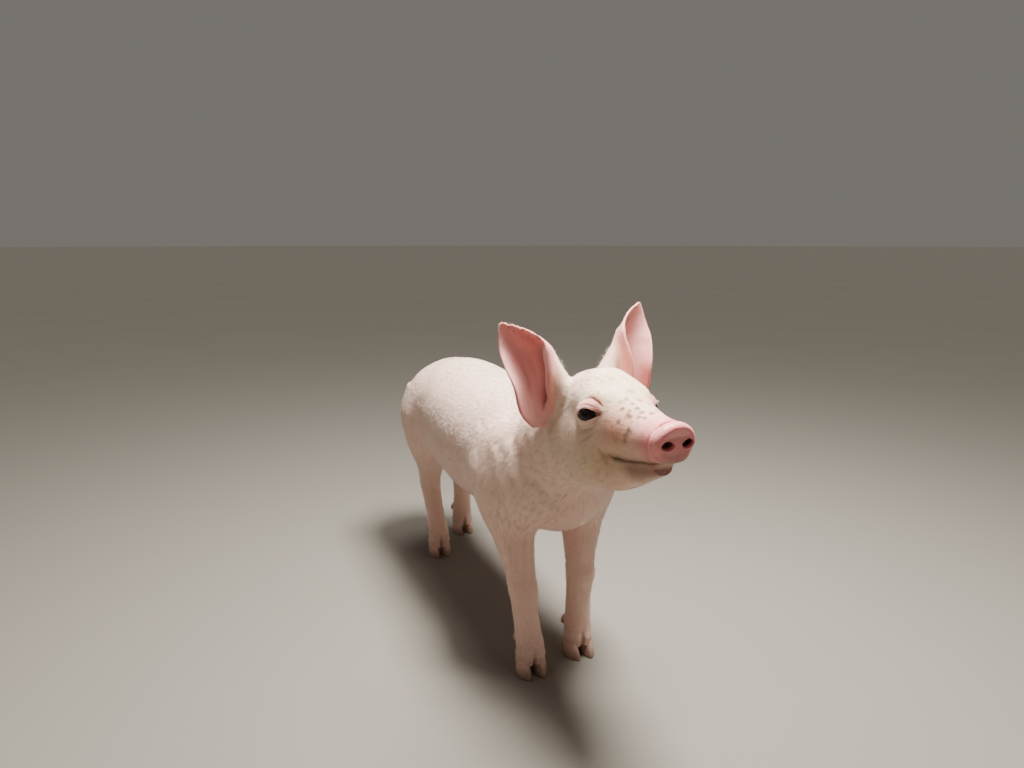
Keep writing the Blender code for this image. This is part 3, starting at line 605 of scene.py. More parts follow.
def lid_edges(t):
    """Height of the upper and lower lid's edge at a place across the opening."""
    share = np.clip(np.abs(t) / np.where(t > 0, OPENING_FRONT, OPENING_BACK), 0, 1)
    back = t < 0
    return (OPENING_UP * (1 - share ** np.where(back, 2.2, 1.35)) - 0.2 * MM,
            -OPENING_DOWN * (1 - share ** np.where(back, 2.2, 1.55)) - 0.2 * MM)


def crease_height(t):
    """Height of the crease over the upper lid at a place across the opening: a lopsided arch."""
    return CREASE_TOP * (1 - ((t - CREASE_AT) / np.where(t > CREASE_AT, CREASE_FRONT, CREASE_BACK)) ** 2)


def lids(p, d):
    """A shell over the eyeball, opened by an almond, with a full upper lid, its crease and folds below."""
    t, n, out, away = eye_places(p)
    above, below = lid_edges(t)
    front = ramp(out, -1 * MM, 4 * MM)
    d = join(d, away - (EYE_RADIUS + LID_OVER_EYE), 0.0045)
    arch = crease_height(t)
    over = ramp(n, 0, 3 * MM)
    ends = 1 - ramp(np.abs(t - 0.5 * MM), 11 * MM, 16 * MM)
    d = d - 0.7 * MM * bell(n - 0.52 * (above + arch), 3.1 * MM) * ends * front * over
    d = d + 0.75 * MM * bell(n - arch, 1.1 * MM) * ends * front
    d = d - 0.30 * MM * bell(n - arch - 2.8 * MM, 2.0 * MM) * bell(t + 3 * MM, 9 * MM) * front
    d = d + 0.35 * MM * bell(n - above * 0.55 - 4.9 * MM, 0.6 * MM) * bell(t, 9 * MM) * front * over
    d = d - 0.25 * MM * bell(n - below + 1.2 * MM, 0.9 * MM) * bell(t, 9 * MM) * front
    span = bell(t + 1.0 * MM, 10 * MM) * front
    for drop, lean, deep, wide in WRINKLES:
        line = n - drop - lean * t - 0.35 * MM * sin_wave(t, 7 * MM)
        d = d + deep * bell(line, wide) * span
        d = d - 0.45 * deep * bell(line + 2.1 * wide, 1.2 * wide) * span
    behind = np.maximum(-t - OPENING_BACK, 0)
    line = n - 0.4 * MM + 0.10 * behind
    d = d + 1.1 * MM * bell(line, 0.95 * MM) * ramp(-t, 7.5 * MM, 9 * MM) * bell(behind, 14 * MM) * front
    line = n + 2.4 * MM + 0.42 * behind
    d = d + 0.55 * MM * bell(line, 0.8 * MM) * ramp(-t, 7.5 * MM, 10 * MM) * bell(behind, 10 * MM) * front
    inside = np.maximum(np.maximum(n - above, below - n) * 0.85, np.maximum(
        t - OPENING_FRONT, -t - OPENING_BACK))
    shallow = -(d + 1.4 * MM + 9 * MM * (1 - ramp(t, 6.8 * MM, 9.2 * MM)))
    hole = np.maximum(np.maximum(inside, EYE_RADIUS - LID_UNDER_EYE - away), np.maximum(-out, shallow))
    return cut_out(d, hole, 0.0005)


def nostril_places(p):
    """Sideways and up from the nearer nostril's middle, along its tilt, and depth behind the disc's face."""
    x, y, z = disc_places(p)
    x = x - NOSTRIL_SHIFT
    across, high = np.abs(x) - NOSTRIL_AT[0], z - NOSTRIL_AT[1]
    across, high = (across * cos(NOSTRIL_TILT) + high * sin(NOSTRIL_TILT),
                    high * cos(NOSTRIL_TILT) - across * sin(NOSTRIL_TILT))
    bend = 0.9 * MM * (across / NOSTRIL_SIZE[0]) ** 2 * np.sign(across)
    return across, high + bend, y + DISC_SIZE[1]


def snout_face(p, d):
    """The disc's face swells a little, with a raised rim, a notch below and two slanting nostrils."""
    x, y, z = disc_places(p)
    ring = np.hypot(x / DISC_SIZE[0], z / DISC_SIZE[2])
    face = ramp(-y, -1 * MM, 3 * MM)
    d = d - 0.55 * MM * bell(ring - 0.87, 0.13) * ramp(z, -6 * MM, 7 * MM) * face
    d = d + 0.45 * MM * bell(x - NOSTRIL_SHIFT, 1.5 * MM) * bell(z + 9 * MM, 6 * MM) * face
    d = d + 0.60 * MM * bell(z - 6.8 * MM + 0.02 * x * x / MM, 1.7 * MM) * bell(x, 11 * MM) * face
    d = d + 0.80 * MM * bell(y - 5.6 * MM, 1.3 * MM) * ramp(z, -9 * MM, 2 * MM)
    across, high, deep = nostril_places(p)
    d = d - 0.6 * MM * bell(np.hypot(across / 1.5, high) - 3.7 * MM, 1.2 * MM) * face
    narrow = 1 - 0.45 * np.clip(deep / NOSTRIL_DEEP, 0, 1)
    ratio = np.hypot(across / NOSTRIL_SIZE[0], high / NOSTRIL_SIZE[1]) / narrow
    hole = np.maximum((ratio - 1) * NOSTRIL_SIZE[1], deep - NOSTRIL_DEEP)
    return cut_out(d, hole, 0.0017)


def muzzle(p, d):
    """Line of the mouth with soft lips, a dimple at its corner, and the creases behind the disc."""
    u, v, w = head_places(p)
    line = w - mouth_height(u)
    along = ramp(u, 10 * MM, 19 * MM) * (1 - ramp(u, 70 * MM, 76 * MM))
    line = line + 0.35 * MM * sin_wave(u, 13 * MM) + 0.2 * MM * sin_wave(u, 5.3 * MM)
    d = d + (0.75 + 0.4 * bell(u - 19 * MM, 6 * MM)) * MM * bell(line, 0.75 * MM) * along
    d = d - 0.55 * MM * bell(line - 2.9 * MM, 2.4 * MM) * along
    d = d - 0.35 * MM * bell(line + 2.6 * MM, 2.0 * MM) * along
    side = ramp(np.abs(v), 3 * MM, 9 * MM)
    d = d + 1.1 * MM * bell(np.hypot(u - 13.5 * MM, (w + 21 * MM) * 0.8), 3.2 * MM) * side
    back = u + 0.25 * (w + 21 * MM) - 9.5 * MM
    d = d + 0.55 * MM * bell(back, 1.5 * MM) * bell(w + 22 * MM, 10 * MM) * side
    top = ramp(w, -18 * MM, -6 * MM)
    for at, deep, wide in ((65.5, 1.0, 1.5), (60.5, 0.40, 1.1), (56.0, 0.25, 1.0)):
        d = d + deep * MM * bell(u - at * MM - 0.10 * np.abs(v), wide * MM) * top
    whisker = w + 15 * MM - 0.25 * (u - 40 * MM)
    d = d + 0.35 * MM * bell(whisker, 1.2 * MM) * bell(u - 44 * MM, 10 * MM) * side
    return d


def neck_folds(p, d):
    """Shallow folds of loose skin round the neck, behind the jaw and behind the shoulder."""
    s, v, w = neck_places(p)
    wave = sin_wave(s + 0.18 * w + 0.0025 * sin_wave(w, 0.031), 0.0165)
    sides = ramp(np.abs(v), 14 * MM, 34 * MM)
    return d + 0.42 * MM * wave * bell(s - 85 * MM, 42 * MM) * sides


def sin_wave(x, length):
    """A wave of height 1 that repeats each `length`."""
    return np.sin(2 * pi * x / length)


def ear_skin(p, d, name):
    """A rolled front edge that overhangs the hollow, ridges fanning up it, and the ear's canal at its foot."""
    along, turn, depth, _, _ = ear_places(p, name)
    up = along / EAR[-1, 0]
    inner = ramp(-depth, 0.3 * MM, 1.6 * MM) * ramp(along, 6 * MM, 20 * MM) * (
        1 - ramp(along, 46 * MM, 66 * MM))
    for at, fan, high in EAR_RIDGES:
        d = d - high * bell(turn - at - fan * up, 0.085 + 0.04 * up) * inner
        d = d + 0.45 * high * bell(turn - at - fan * up - 0.17, 0.08) * inner
    _, _, _, roll, _ = ear_places(p, name, EAR_EDGE)
    front = np.where(turn > 0.2, roll, 0.05) - (0.5 * MM + EAR_EDGE * 0.82 * bell(along - 38 * MM, 30 * MM))
    over = np.maximum(np.maximum(10 * MM - along, along - 58 * MM), 0)
    d = join(d, np.hypot(np.maximum(front, 0), over) + np.minimum(front, 0), 0.0020)
    ends = np.maximum(np.maximum(11 * MM - along, along - 84 * MM), (np.abs(turn) - 0.70) * 16 * MM)
    d = cut_out(d, np.maximum(depth + 3.4 * MM, ends), 0.0022)
    own = p * vec(EARS[name][0], 1, 1)
    return cut_out(d, rod_distance(own, *CANAL[name], 0.0044, 0.0014), 0.0035)


def foot_skin(p, d, name):
    """The cleft between the toes, the swelling above the claws, folds of the pastern, knee and hock."""
    _, fore, toe_x, toe_y = LEGS[name]
    x, y, z = p[:, 0] - toe_x, p[:, 1] - toe_y, p[:, 2]
    low = 1 - ramp(z, 17 * MM, 31 * MM)
    ahead = 1 - ramp(y, 14 * MM, 24 * MM)
    d = d + 4.2 * MM * bell(x, 1.9 * MM) * low * ahead
    d = d + 2.2 * MM * bell(x, 1.5 * MM) * low * ramp(y, 20 * MM, 30 * MM)
    d = d - 0.8 * MM * bell(z - 20 * MM, 3.2 * MM)
    d = d + 0.45 * MM * bell(z - 27 * MM, 1.6 * MM) + 0.30 * MM * bell(z - 33.5 * MM, 1.4 * MM)
    d = d - 0.7 * MM * bell(z - 40 * MM, 5 * MM) * ramp(y, 18 * MM, 30 * MM)
    if fore:
        d = d - 0.9 * MM * bell(z - 88 * MM, 9 * MM) * (1 - ramp(y, 16 * MM, 30 * MM))
        d = d + 0.5 * MM * bell(np.abs(z - 88 * MM) - 12 * MM, 3 * MM)
    else:
        d = d - 1.3 * MM * bell(z - 93 * MM, 8 * MM) * ramp(y, 36 * MM, 50 * MM)
        d = d + 0.8 * MM * bell(np.abs(x) - 9 * MM, 3.5 * MM) * bell(z - 104 * MM, 14 * MM) * ramp(
            y, 24 * MM, 40 * MM)
    return d


def teats(p, d):
    """Two rows of small teats along the belly."""
    folded = mirrored(p)
    for k in range(TEATS):
        y = TEAT_FROM + k * TEAT_STEP
        _, middle, wide, _, below = (curve(wider(TRUNK), i, vec(y))[0] for i in range(1, 6))
        z = middle - below * (1 - (TEAT_OUT / wide) ** POWER) ** (1 / POWER)
        d = join(d, ball_distance(folded, (TEAT_OUT, y, z - 0.4 * MM), (0.0019, 0.0019, 0.0026)), 0.0022)
    return d


DETAILS = [
    ((-0.060, -0.270, 0.255), (0.060, -0.195, 0.325), lids),
    ((-0.030, -0.330, 0.255), (0.030, -0.285, 0.312), snout_face),
    ((-0.040, -0.330, 0.235), (0.040, -0.215, 0.312), muzzle),
    ((-0.080, -0.200, 0.150), (0.080, -0.040, 0.330), neck_folds),
    ((-0.110, -0.215, 0.250), (-0.018, -0.110, 0.385), lambda p, d: ear_skin(p, d, "ear_right")),
    ((0.018, -0.215, 0.250), (0.110, -0.110, 0.395), lambda p, d: ear_skin(p, d, "ear_left")),
    ((-0.040, -0.080, 0.100), (0.040, 0.190, 0.145), teats),
    *[((LEGS[leg][2] - 0.03, LEGS[leg][3] - 0.02, -0.01), (LEGS[leg][2] + 0.03, LEGS[leg][3] + 0.08, 0.125),
       lambda p, d, leg=leg: foot_skin(p, d, leg)) for leg in LEGS]]


def ear_cover(p):
    """1 on either ear's leaf, falling to nought a few millimetres off it; and the same for its hollow side."""
    cover, hollow = np.zeros(len(p)), np.zeros(len(p))
    for name, (side, *_) in EARS.items():
        inside = beside_ear(p, side)
        q = p[inside]
        along, turn, depth, rim, thick = ear_places(q, name)
        flat = np.where(np.abs(turn) <= 1, np.abs(depth), rim)
        over = np.maximum(np.maximum(-along, along - EAR[-1, 0]), 0)
        here = 1 - ramp(np.hypot(flat, over) - thick / 2, 0.6 * MM, 5 * MM)
        dish = ramp(-depth, 0, 1.5 * MM) * (1 - ramp(-depth, 11 * MM, 15 * MM)) * ramp(
            along, 9 * MM, 18 * MM) * (1 - ramp(along, 82 * MM, 90 * MM)) * (1 - ramp(np.abs(turn), 0.84, 0.98))
        cover[inside] = np.maximum(here, dish)
        hollow[inside] = np.maximum(
            here * ramp(-depth, -0.9 * MM, 0.5 * MM) * (1 - ramp(np.abs(turn), 0.93, 1.10)), dish)
    return cover, hollow


def coat_depth(p):
    """How far the skin lies under the tips of the coat: least on ears, snout and feet."""
    u, _, _ = head_places(p)
    face = ramp(u, -40 * MM, 58 * MM) * (p[:, 1] < -0.15)
    depth = 1.2 * MM - 0.95 * MM * face
    depth = depth - 0.85 * MM * (1 - ramp(p[:, 2], 22 * MM, 95 * MM))
    cover, _ = ear_cover(p)
    return depth + (0.15 * MM - depth) * cover


def body_distance(p):
    """The skin: the smooth body less the coat's depth, with every detail worked inside its own box."""
    d = flesh_distance(p) + coat_depth(p)
    for low, high, detail in DETAILS:
        inside = ((p > np.array(low)) & (p < np.array(high))).all(axis=1) & (np.abs(d) < 0.02)
        if inside.any():
            d[inside] = detail(p[inside], d[inside])
    return d


# --- Meshes from distances ---
CORNERS = np.array([[1, -1, -1], [-1, 1, -1], [-1, -1, 1], [1, 1, 1]]) / 3 ** 0.5


def in_slices(function, points, size=40000):
    """A function of many points, worked out in slices side by side."""
    slices = [points[i:i + size] for i in range(0, max(len(points), 1), size)]
    with ThreadPoolExecutor(4) as pool:
        return np.concatenate(list(pool.map(function, slices)))


def slope(distance, points, step=0.12 * MM):
    """Distance and unit outward direction from the four corners of a small tetrahedron round each point."""
    values = np.stack([in_slices(distance, points + step * corner) for corner in CORNERS], axis=1)
    way = values @ CORNERS
    return values.mean(axis=1), way / (np.linalg.norm(way, axis=1)[:, None] + 1e-12)


def onto(distance, points, passes=2, most=0.8 * MM):
    """Moves points along the slope onto the zero of a distance, `most` at most in each pass."""
    for _ in range(passes):
        d, way = slope(distance, points)
        points = points - way * np.clip(d, -most, most)[:, None]
    return points


def surface_net(distance, low, high, grain, block=4):
    """Quads round the zero of a distance on a grid, worked out only in blocks that the surface may cross."""
    low, high = np.array(low, float), np.array(high, float)
    blocks = np.ceil((high - low) / grain / block).astype(int)
    count = blocks * block + 1
    field = np.ones(count, np.float32)
    middles = [low[i] + grain * block * (np.arange(blocks[i]) + 0.5) for i in range(3)]
    centres = np.stack(np.meshgrid(*middles, indexing="ij"), axis=-1).reshape(-1, 3)
    coarse = in_slices(distance, centres).reshape(blocks)
    crossed = np.abs(coarse) < grain * block * 1.25
    steps = np.stack(np.meshgrid(*[np.arange(block + 1)] * 3, indexing="ij"), axis=-1).reshape(-1, 3)
    for where, value in ((~crossed & (coarse < 0), -1), (crossed, 2)):
        index = (np.argwhere(where)[:, None] * block + steps).reshape(-1, 3)
        field[tuple(index.T)] = value
    index = np.argwhere(field == 2)
    field[tuple(index.T)] = in_slices(distance, low + index * grain)
    inside = field < 0
    cells = sum(inside[a:count[0] - 1 + a, b:count[1] - 1 + b, c:count[2] - 1 + c].astype(np.int8)
                for a in (0, 1) for b in (0, 1) for c in (0, 1))
    active = (cells > 0) & (cells < 8)
    at = np.argwhere(active)
    number = np.full(cells.shape, -1, np.int32)
    number[active] = np.arange(len(at))
    total, hits = np.zeros((len(at), 3)), np.zeros(len(at))
    for axis in range(3):
        for one in (0, 1):
            for other in (0, 1):
                corner = np.insert(np.array([one, other]), axis, 0)
                start = field[tuple((at + corner).T)]
                end = field[tuple((at + corner + np.eye(3, dtype=int)[axis]).T)]
                cut = (start < 0) != (end < 0)
                place = np.tile(corner.astype(float), (len(at), 1))
                place[:, axis] += np.where(cut, start / np.where(cut, start - end, 1), 0)
                total[cut] += place[cut]
                hits[cut] += 1
    points = low + grain * (at + total / hits[:, None])
    quads = []
    for axis in range(3):
        one, other = (axis + 1) % 3, (axis + 2) % 3
        trim = [slice(1, -1)] * 3
        trim[axis] = slice(0, count[axis] - 1)
        ahead = list(trim)
        ahead[axis] = slice(1, count[axis])
        here, there = inside[tuple(trim)], inside[tuple(ahead)]
        edge = np.argwhere(here != there)
        out = here[tuple(edge.T)]
        edge[:, one] += 1
        edge[:, other] += 1
        ring = []
        for a, b in ((-1, -1), (0, -1), (0, 0), (-1, 0)):
            cell = edge.copy()
            cell[:, one] += a
            cell[:, other] += b
            ring.append(number[tuple(cell.T)])
        quad = np.stack(ring, axis=1)
        quad[~out] = quad[~out][:, ::-1]
        quads.append(quad)
    return points, np.concatenate(quads)


def edges_of(triangles):
    """Unique edges, and for each triangle the edges opposite its first, second and third corner."""
    sides = np.concatenate([triangles[:, [1, 2]], triangles[:, [2, 0]], triangles[:, [0, 1]]])
    sides.sort(axis=1)
    unique, back = np.unique(sides, axis=0, return_inverse=True)
    return unique, back.reshape(3, -1).T


def split_long(points, triangles, wanted, distance):
    """Splits each edge longer than the wanted length there, and sets the new points on the surface."""
    edges, own = edges_of(triangles)
    ends = points[edges]
    middle = ends.mean(axis=1)
    long = np.linalg.norm(ends[:, 0] - ends[:, 1], axis=1) > wanted(middle)
    number = np.full(len(edges), -1)
    number[long] = len(points) + np.arange(long.sum())
    points = np.concatenate([points, onto(distance, middle[long], 2)])
    cut = number[own]
    marks = (cut >= 0).sum(axis=1)
    pieces = [triangles[marks == 0]]
    for count in (1, 2, 3):
        chosen = np.nonzero(marks == count)[0]
        tri, mid = triangles[chosen], cut[chosen]
        if count == 1:
            first = np.argmax(mid >= 0, axis=1)
        elif count == 2:
            first = np.argmax(mid < 0, axis=1)
        else:
            first = np.zeros(len(tri), int)
        turn = (first[:, None] + np.arange(3)) % 3
        a, b, c = np.take_along_axis(tri, turn, axis=1).T
        over_a, over_b, over_c = np.take_along_axis(mid, turn, axis=1).T
        if count == 1:
            made = [(a, b, over_a), (a, over_a, c)]
        elif count == 2:
            made = [(a, over_c, over_b), (over_c, b, c), (over_c, c, over_b)]
        else:
            made = [(a, over_c, over_b), (over_c, b, over_a), (over_b, over_a, c), (over_c, over_a, over_b)]
        pieces += [np.stack(corner, axis=1) for corner in made]
    return points, np.concatenate(pieces)


def even_out(points, triangles, distance, passes=2, pull=0.5):
    """Moves each point towards the middle of its neighbours and back onto the surface."""
    for _ in range(passes):
        edges, _ = edges_of(triangles)
        total, hits = np.zeros_like(points), np.zeros(len(points))
        for one, other in ((0, 1), (1, 0)):
            for axis in range(3):
                total[:, axis] += np.bincount(edges[:, one], points[edges[:, other], axis], len(points))
            hits += np.bincount(edges[:, one], minlength=len(points))
        points = points + pull * (total / hits[:, None] - points)
        points = onto(distance, points, 1)
    return points


def new_mesh(name, points, faces):
    """A mesh from whole arrays of points and of faces with equal corner counts, at its place in the part."""
    mesh = bpy.data.meshes.new(name)
    mesh.vertices.add(len(points))
    mesh.vertices.foreach_set("co", np.ascontiguousarray(points, np.float32).ravel())
    corners = faces.shape[1]
    mesh.loops.add(faces.size)
    mesh.loops.foreach_set("vertex_index", np.ascontiguousarray(faces, np.int32).ravel())
    mesh.polygons.add(len(faces))
    mesh.polygons.foreach_set("loop_start", np.arange(0, faces.size, corners, dtype=np.int32))
    mesh.polygons.foreach_set("use_smooth", np.ones(len(faces), bool))
    mesh.update(calc_edges=True)
    if mesh.validate():
        raise RuntimeError(f"the mesh of {name} had faults")
    return mesh


def new_object(name, mesh, material):
    """An object for the mesh, in the scene, with its material."""
    made = bpy.data.objects.new(name, mesh)
    bpy.context.scene.collection.objects.link(made)
    mesh.materials.append(material)
    return made


def give_colours(mesh, name, colours):
    """A colour for each point, under a name that materials read."""
    layer = mesh.color_attributes.new(name=name, type="FLOAT_COLOR", domain="POINT")
    rgba = np.ones((len(colours), 4), np.float32)
    rgba[:, :3] = colours
    layer.data.foreach_set("color", rgba.ravel())


def give_values(mesh, name, values):
    """A value for each point, under a name that materials read."""
    layer = mesh.attributes.new(name=name, type="FLOAT", domain="POINT")
    layer.data.foreach_set("value", np.ascontiguousarray(values, np.float32))


def thinned(points, quads, share):
    """The same surface with a share of its triangles, fewest where it is flattest."""
    rough = bpy.data.objects.new("rough", new_mesh("rough", points, quads))
    bpy.context.scene.collection.objects.link(rough)
    thin = rough.modifiers.new("thin", "DECIMATE")
    thin.ratio = share
    thin.use_collapse_triangulate = True
    mesh = bpy.data.meshes.new_from_object(rough.evaluated_get(bpy.context.evaluated_depsgraph_get()))
    result = np.empty(len(mesh.vertices) * 3)
    mesh.vertices.foreach_get("co", result)
    mesh.calc_loop_triangles()
    triangles = np.empty(len(mesh.loop_triangles) * 3, np.int32)
    mesh.loop_triangles.foreach_get("vertices", triangles)
    bpy.data.objects.remove(rough)
    bpy.data.meshes.remove(mesh)
    return result.reshape(-1, 3), triangles.reshape(-1, 3)


def wanted_edge(p):
    """Longest edge wanted at each point: fine at the eyes, nostrils and mouth, coarse on the trunk."""
    u, _, w = head_places(p)
    on_head = head_share(p, 0.150, 0.185)
    size = 5.2 * MM - 3.0 * MM * on_head
    cover, _ = ear_cover(p)
    size = size + (2.3 * MM - size) * cover
    size = np.minimum(size, 2.2 * MM + 3.0 * MM * ramp(p[:, 2], 45 * MM, 90 * MM))
    size = np.where(p[:, 1] > 0.262, np.minimum(size, 2.4 * MM), size)
    eye = eye_places(p)[3]
    size = np.minimum(size, 0.65 * MM + 0.09 * np.maximum(eye - 16 * MM, 0))
    _, behind, _ = disc_places(p)
    disc = np.abs(behind) + np.maximum(0.26 - p[:, 2], 0)
    size = np.minimum(size, 1.0 * MM + 0.12 * np.maximum(disc - 6 * MM, 0))
    across, high, _ = nostril_places(p)
    nostril = np.hypot(across, high)
    size = np.minimum(size, 0.60 * MM + 0.15 * np.maximum(np.hypot(nostril, disc * 0.4) - 6 * MM, 0))
    line = np.abs(w - mouth_height(u)) + np.maximum(8 * MM - u, 0)
    return np.minimum(size, 0.75 * MM + 0.25 * np.maximum(line - 3 * MM, 0))


# --- Colour worked out by place, painted light and shade included, so that skin and coat carry the same colour ---
# forward along the head, sideways, up from the mouth's line; radius; strength
SPOTS = np.array([
    [28.9, -14.9, 15.1, 1.7, 0.95], [40.1, -14.8, 9.2, 1.7, 0.85], [44.7, -6.9, 12.4, 2.0, 0.95],
    [50.0, -1.5, 11.3, 1.9, 0.95], [30.9, -20.2, 5.6, 1.8, 0.85], [38.2, -7.1, 15.3, 2.0, 0.95],
    [31.1, -6.1, 19.0, 1.6, 0.75], [41.7, -20.2, -3.9, 2.7, 0.55], [39.5, -20.0, -8.0, 2.2, 0.40],
    [43.5, -19.0, 0.2, 1.8, 0.75], [47.0, -11.0, 9.5, 1.5, 0.75], [52.0, -9.0, 7.5, 1.6, 0.75],
    [35.5, -12.0, 13.5, 1.4, 0.65], [24.0, -8.0, 22.5, 2.4, 0.55], [15.4, 1.2, 28.7, 3.2, 0.50],
    [-0.1, -5.6, 39.1, 3.4, 0.42], [33.0, 6.5, 16.5, 1.6, 0.7], [43.0, 8.0, 11.0, 1.8, 0.7],
    [37.0, -14.5, 10.0, 1.5, 0.7], [22.0, -12.5, 19.5, 2.0, 0.45], [29.2, 1.4, 20.8, 2.6, 0.55],
    [49.5, -13.0, 3.0, 1.4, 0.55], [46.0, -17.0, -2.0, 2.0, 0.55]]) * [MM, MM, MM, MM, 1]
SPOT = vec(0.15, 0.060, 0.028)
PALE = vec(0.86, 0.565, 0.455)
# painted highlight: the warm light that falls on the top of the head and the back
TOP_LIGHT_WARM = vec(0.92, 0.75, 0.50)
EAR_PINK = vec(0.82, 0.35, 0.325)
# paler pink of the ear, used as painted highlight on the back of the hollow and the rolled front edge
EAR_PALE_AND_LIT = vec(0.84, 0.39, 0.36)
EAR_BACK = vec(0.80, 0.325, 0.30)
# painted shade in the ear's hollow
EAR_SHADE_RED = vec(0.42, 0.080, 0.070)
# painted shade inside the ear's canal
CANAL_SHADE = vec(0.10, 0.022, 0.018)
SNOUT_PINK = vec(0.84, 0.27, 0.285)
# painted highlight on the snout
SNOUT_HIGHLIGHT = vec(0.88, 0.42, 0.42)
# painted shade in the creases of the disc's rim, behind it and round the nostrils
SNOUT_RIM_SHADE = vec(0.76, 0.15, 0.18)
# painted shade on the disc's face, which faces forward and down
SNOUT_FACE_SHADE = vec(0.52, 0.145, 0.150)
MUZZLE_TAN = vec(0.72, 0.335, 0.235)
LID_PINK = vec(0.72, 0.235, 0.215)
LID_EDGE = vec(0.80, 0.46, 0.42)
# painted shade where the lids meet the eye and in its front corner
EYELID_SHADE = vec(0.33, 0.085, 0.070)
# earth on feet and round the mouth, also used as painted shade inside the nostrils and along the mouth's line
EARTH_AND_SHADE = vec(0.145, 0.075, 0.038)
# yellowish stain, also used as painted shade in the wrinkles below the eye
STAIN_AND_SHADE = vec(0.74, 0.555, 0.27)
# painted shade in folds and creases
FOLD_SHADE = vec(0.40, 0.135, 0.10)
# painted shade under the snout, over the lower lip and chin
LIP_SHADE = vec(0.27, 0.115, 0.085)
LEG_PINK = vec(0.74, 0.40, 0.345)
LASH = vec(0.50, 0.34, 0.26)


def toned(colour, towards, amount):
    """The colour moved by an amount of 0 to 1 towards another."""
    return colour + (towards - colour) * np.clip(amount, 0, 1)[:, None]


def ear_tones(p, colour, hollow):
    """Salmon hollow, with painted highlight behind and on its rolled front edge and painted shade under that edge,
    sinking to dark red painted shade at the canal.
    """
    for name, (side, *_) in EARS.items():
        inside = beside_ear(p, side)
        q, tone, dish = p[inside], colour[inside], hollow[inside]
        own = q * vec(side, 1, 1)
        along, turn, _, _, _ = ear_places(q, name)
        low, high = CANAL[name]
        way = high - low
        rise = np.clip((own - low) @ way / (way @ way), 0, 1.2)
        line = low + rise[:, None] * way
        far = np.linalg.norm(own - line, axis=1)
        behind = ramp(own[:, 0] - line[:, 0], -1.6 * MM, 1.2 * MM)
        bowl = np.maximum(dish, bell(far, 11 * MM) * behind)
        tone = toned(tone, EAR_PINK, bowl)
        # painted highlight on the back part of the hollow
        tone = toned(tone, EAR_PALE_AND_LIT, 0.75 * bowl * bell(turn + 0.58, 0.36))
        # paler towards the ear's foot
        tone = toned(tone, EAR_PALE_AND_LIT, 0.5 * bowl * (1 - ramp(along, 8 * MM, 24 * MM)))
        shade = bowl * bell(turn - 0.44, 0.30) * ramp(along, 14 * MM, 28 * MM) * (
            1 - ramp(along, 76 * MM, 94 * MM))
        # painted shade under the overhanging front edge
        tone = toned(tone, EAR_SHADE_RED, 0.42 * shade)
        pit = bowl * ramp(along, 9 * MM, 17 * MM)
        # painted shade deep in the hollow at the canal's foot
        tone = toned(tone, EAR_SHADE_RED, 0.95 * pit * bell(turn - 0.60, 0.30) * (1 - ramp(along, 44 * MM, 66 * MM)))
        # painted shade: the canal's opening made nearly black
        tone = toned(tone, CANAL_SHADE, 0.95 * pit * bell(turn - 0.70, 0.19) * (
            1 - ramp(along, 30 * MM, 47 * MM)))
        _, _, _, roll, _ = ear_places(q, name, EAR_EDGE)
        # painted highlight on the rolled front edge
        edge = np.maximum(bell(np.maximum(roll - 2.4 * MM, 0), 1.3 * MM), ramp(turn, 0.62, 0.80) * dish) * (
            ramp(turn, 0.66, 0.86) * ramp(along, 24 * MM, 40 * MM))
        tone = toned(tone, EAR_PALE_AND_LIT, 0.70 * edge)
        colour[inside] = tone
    return colour


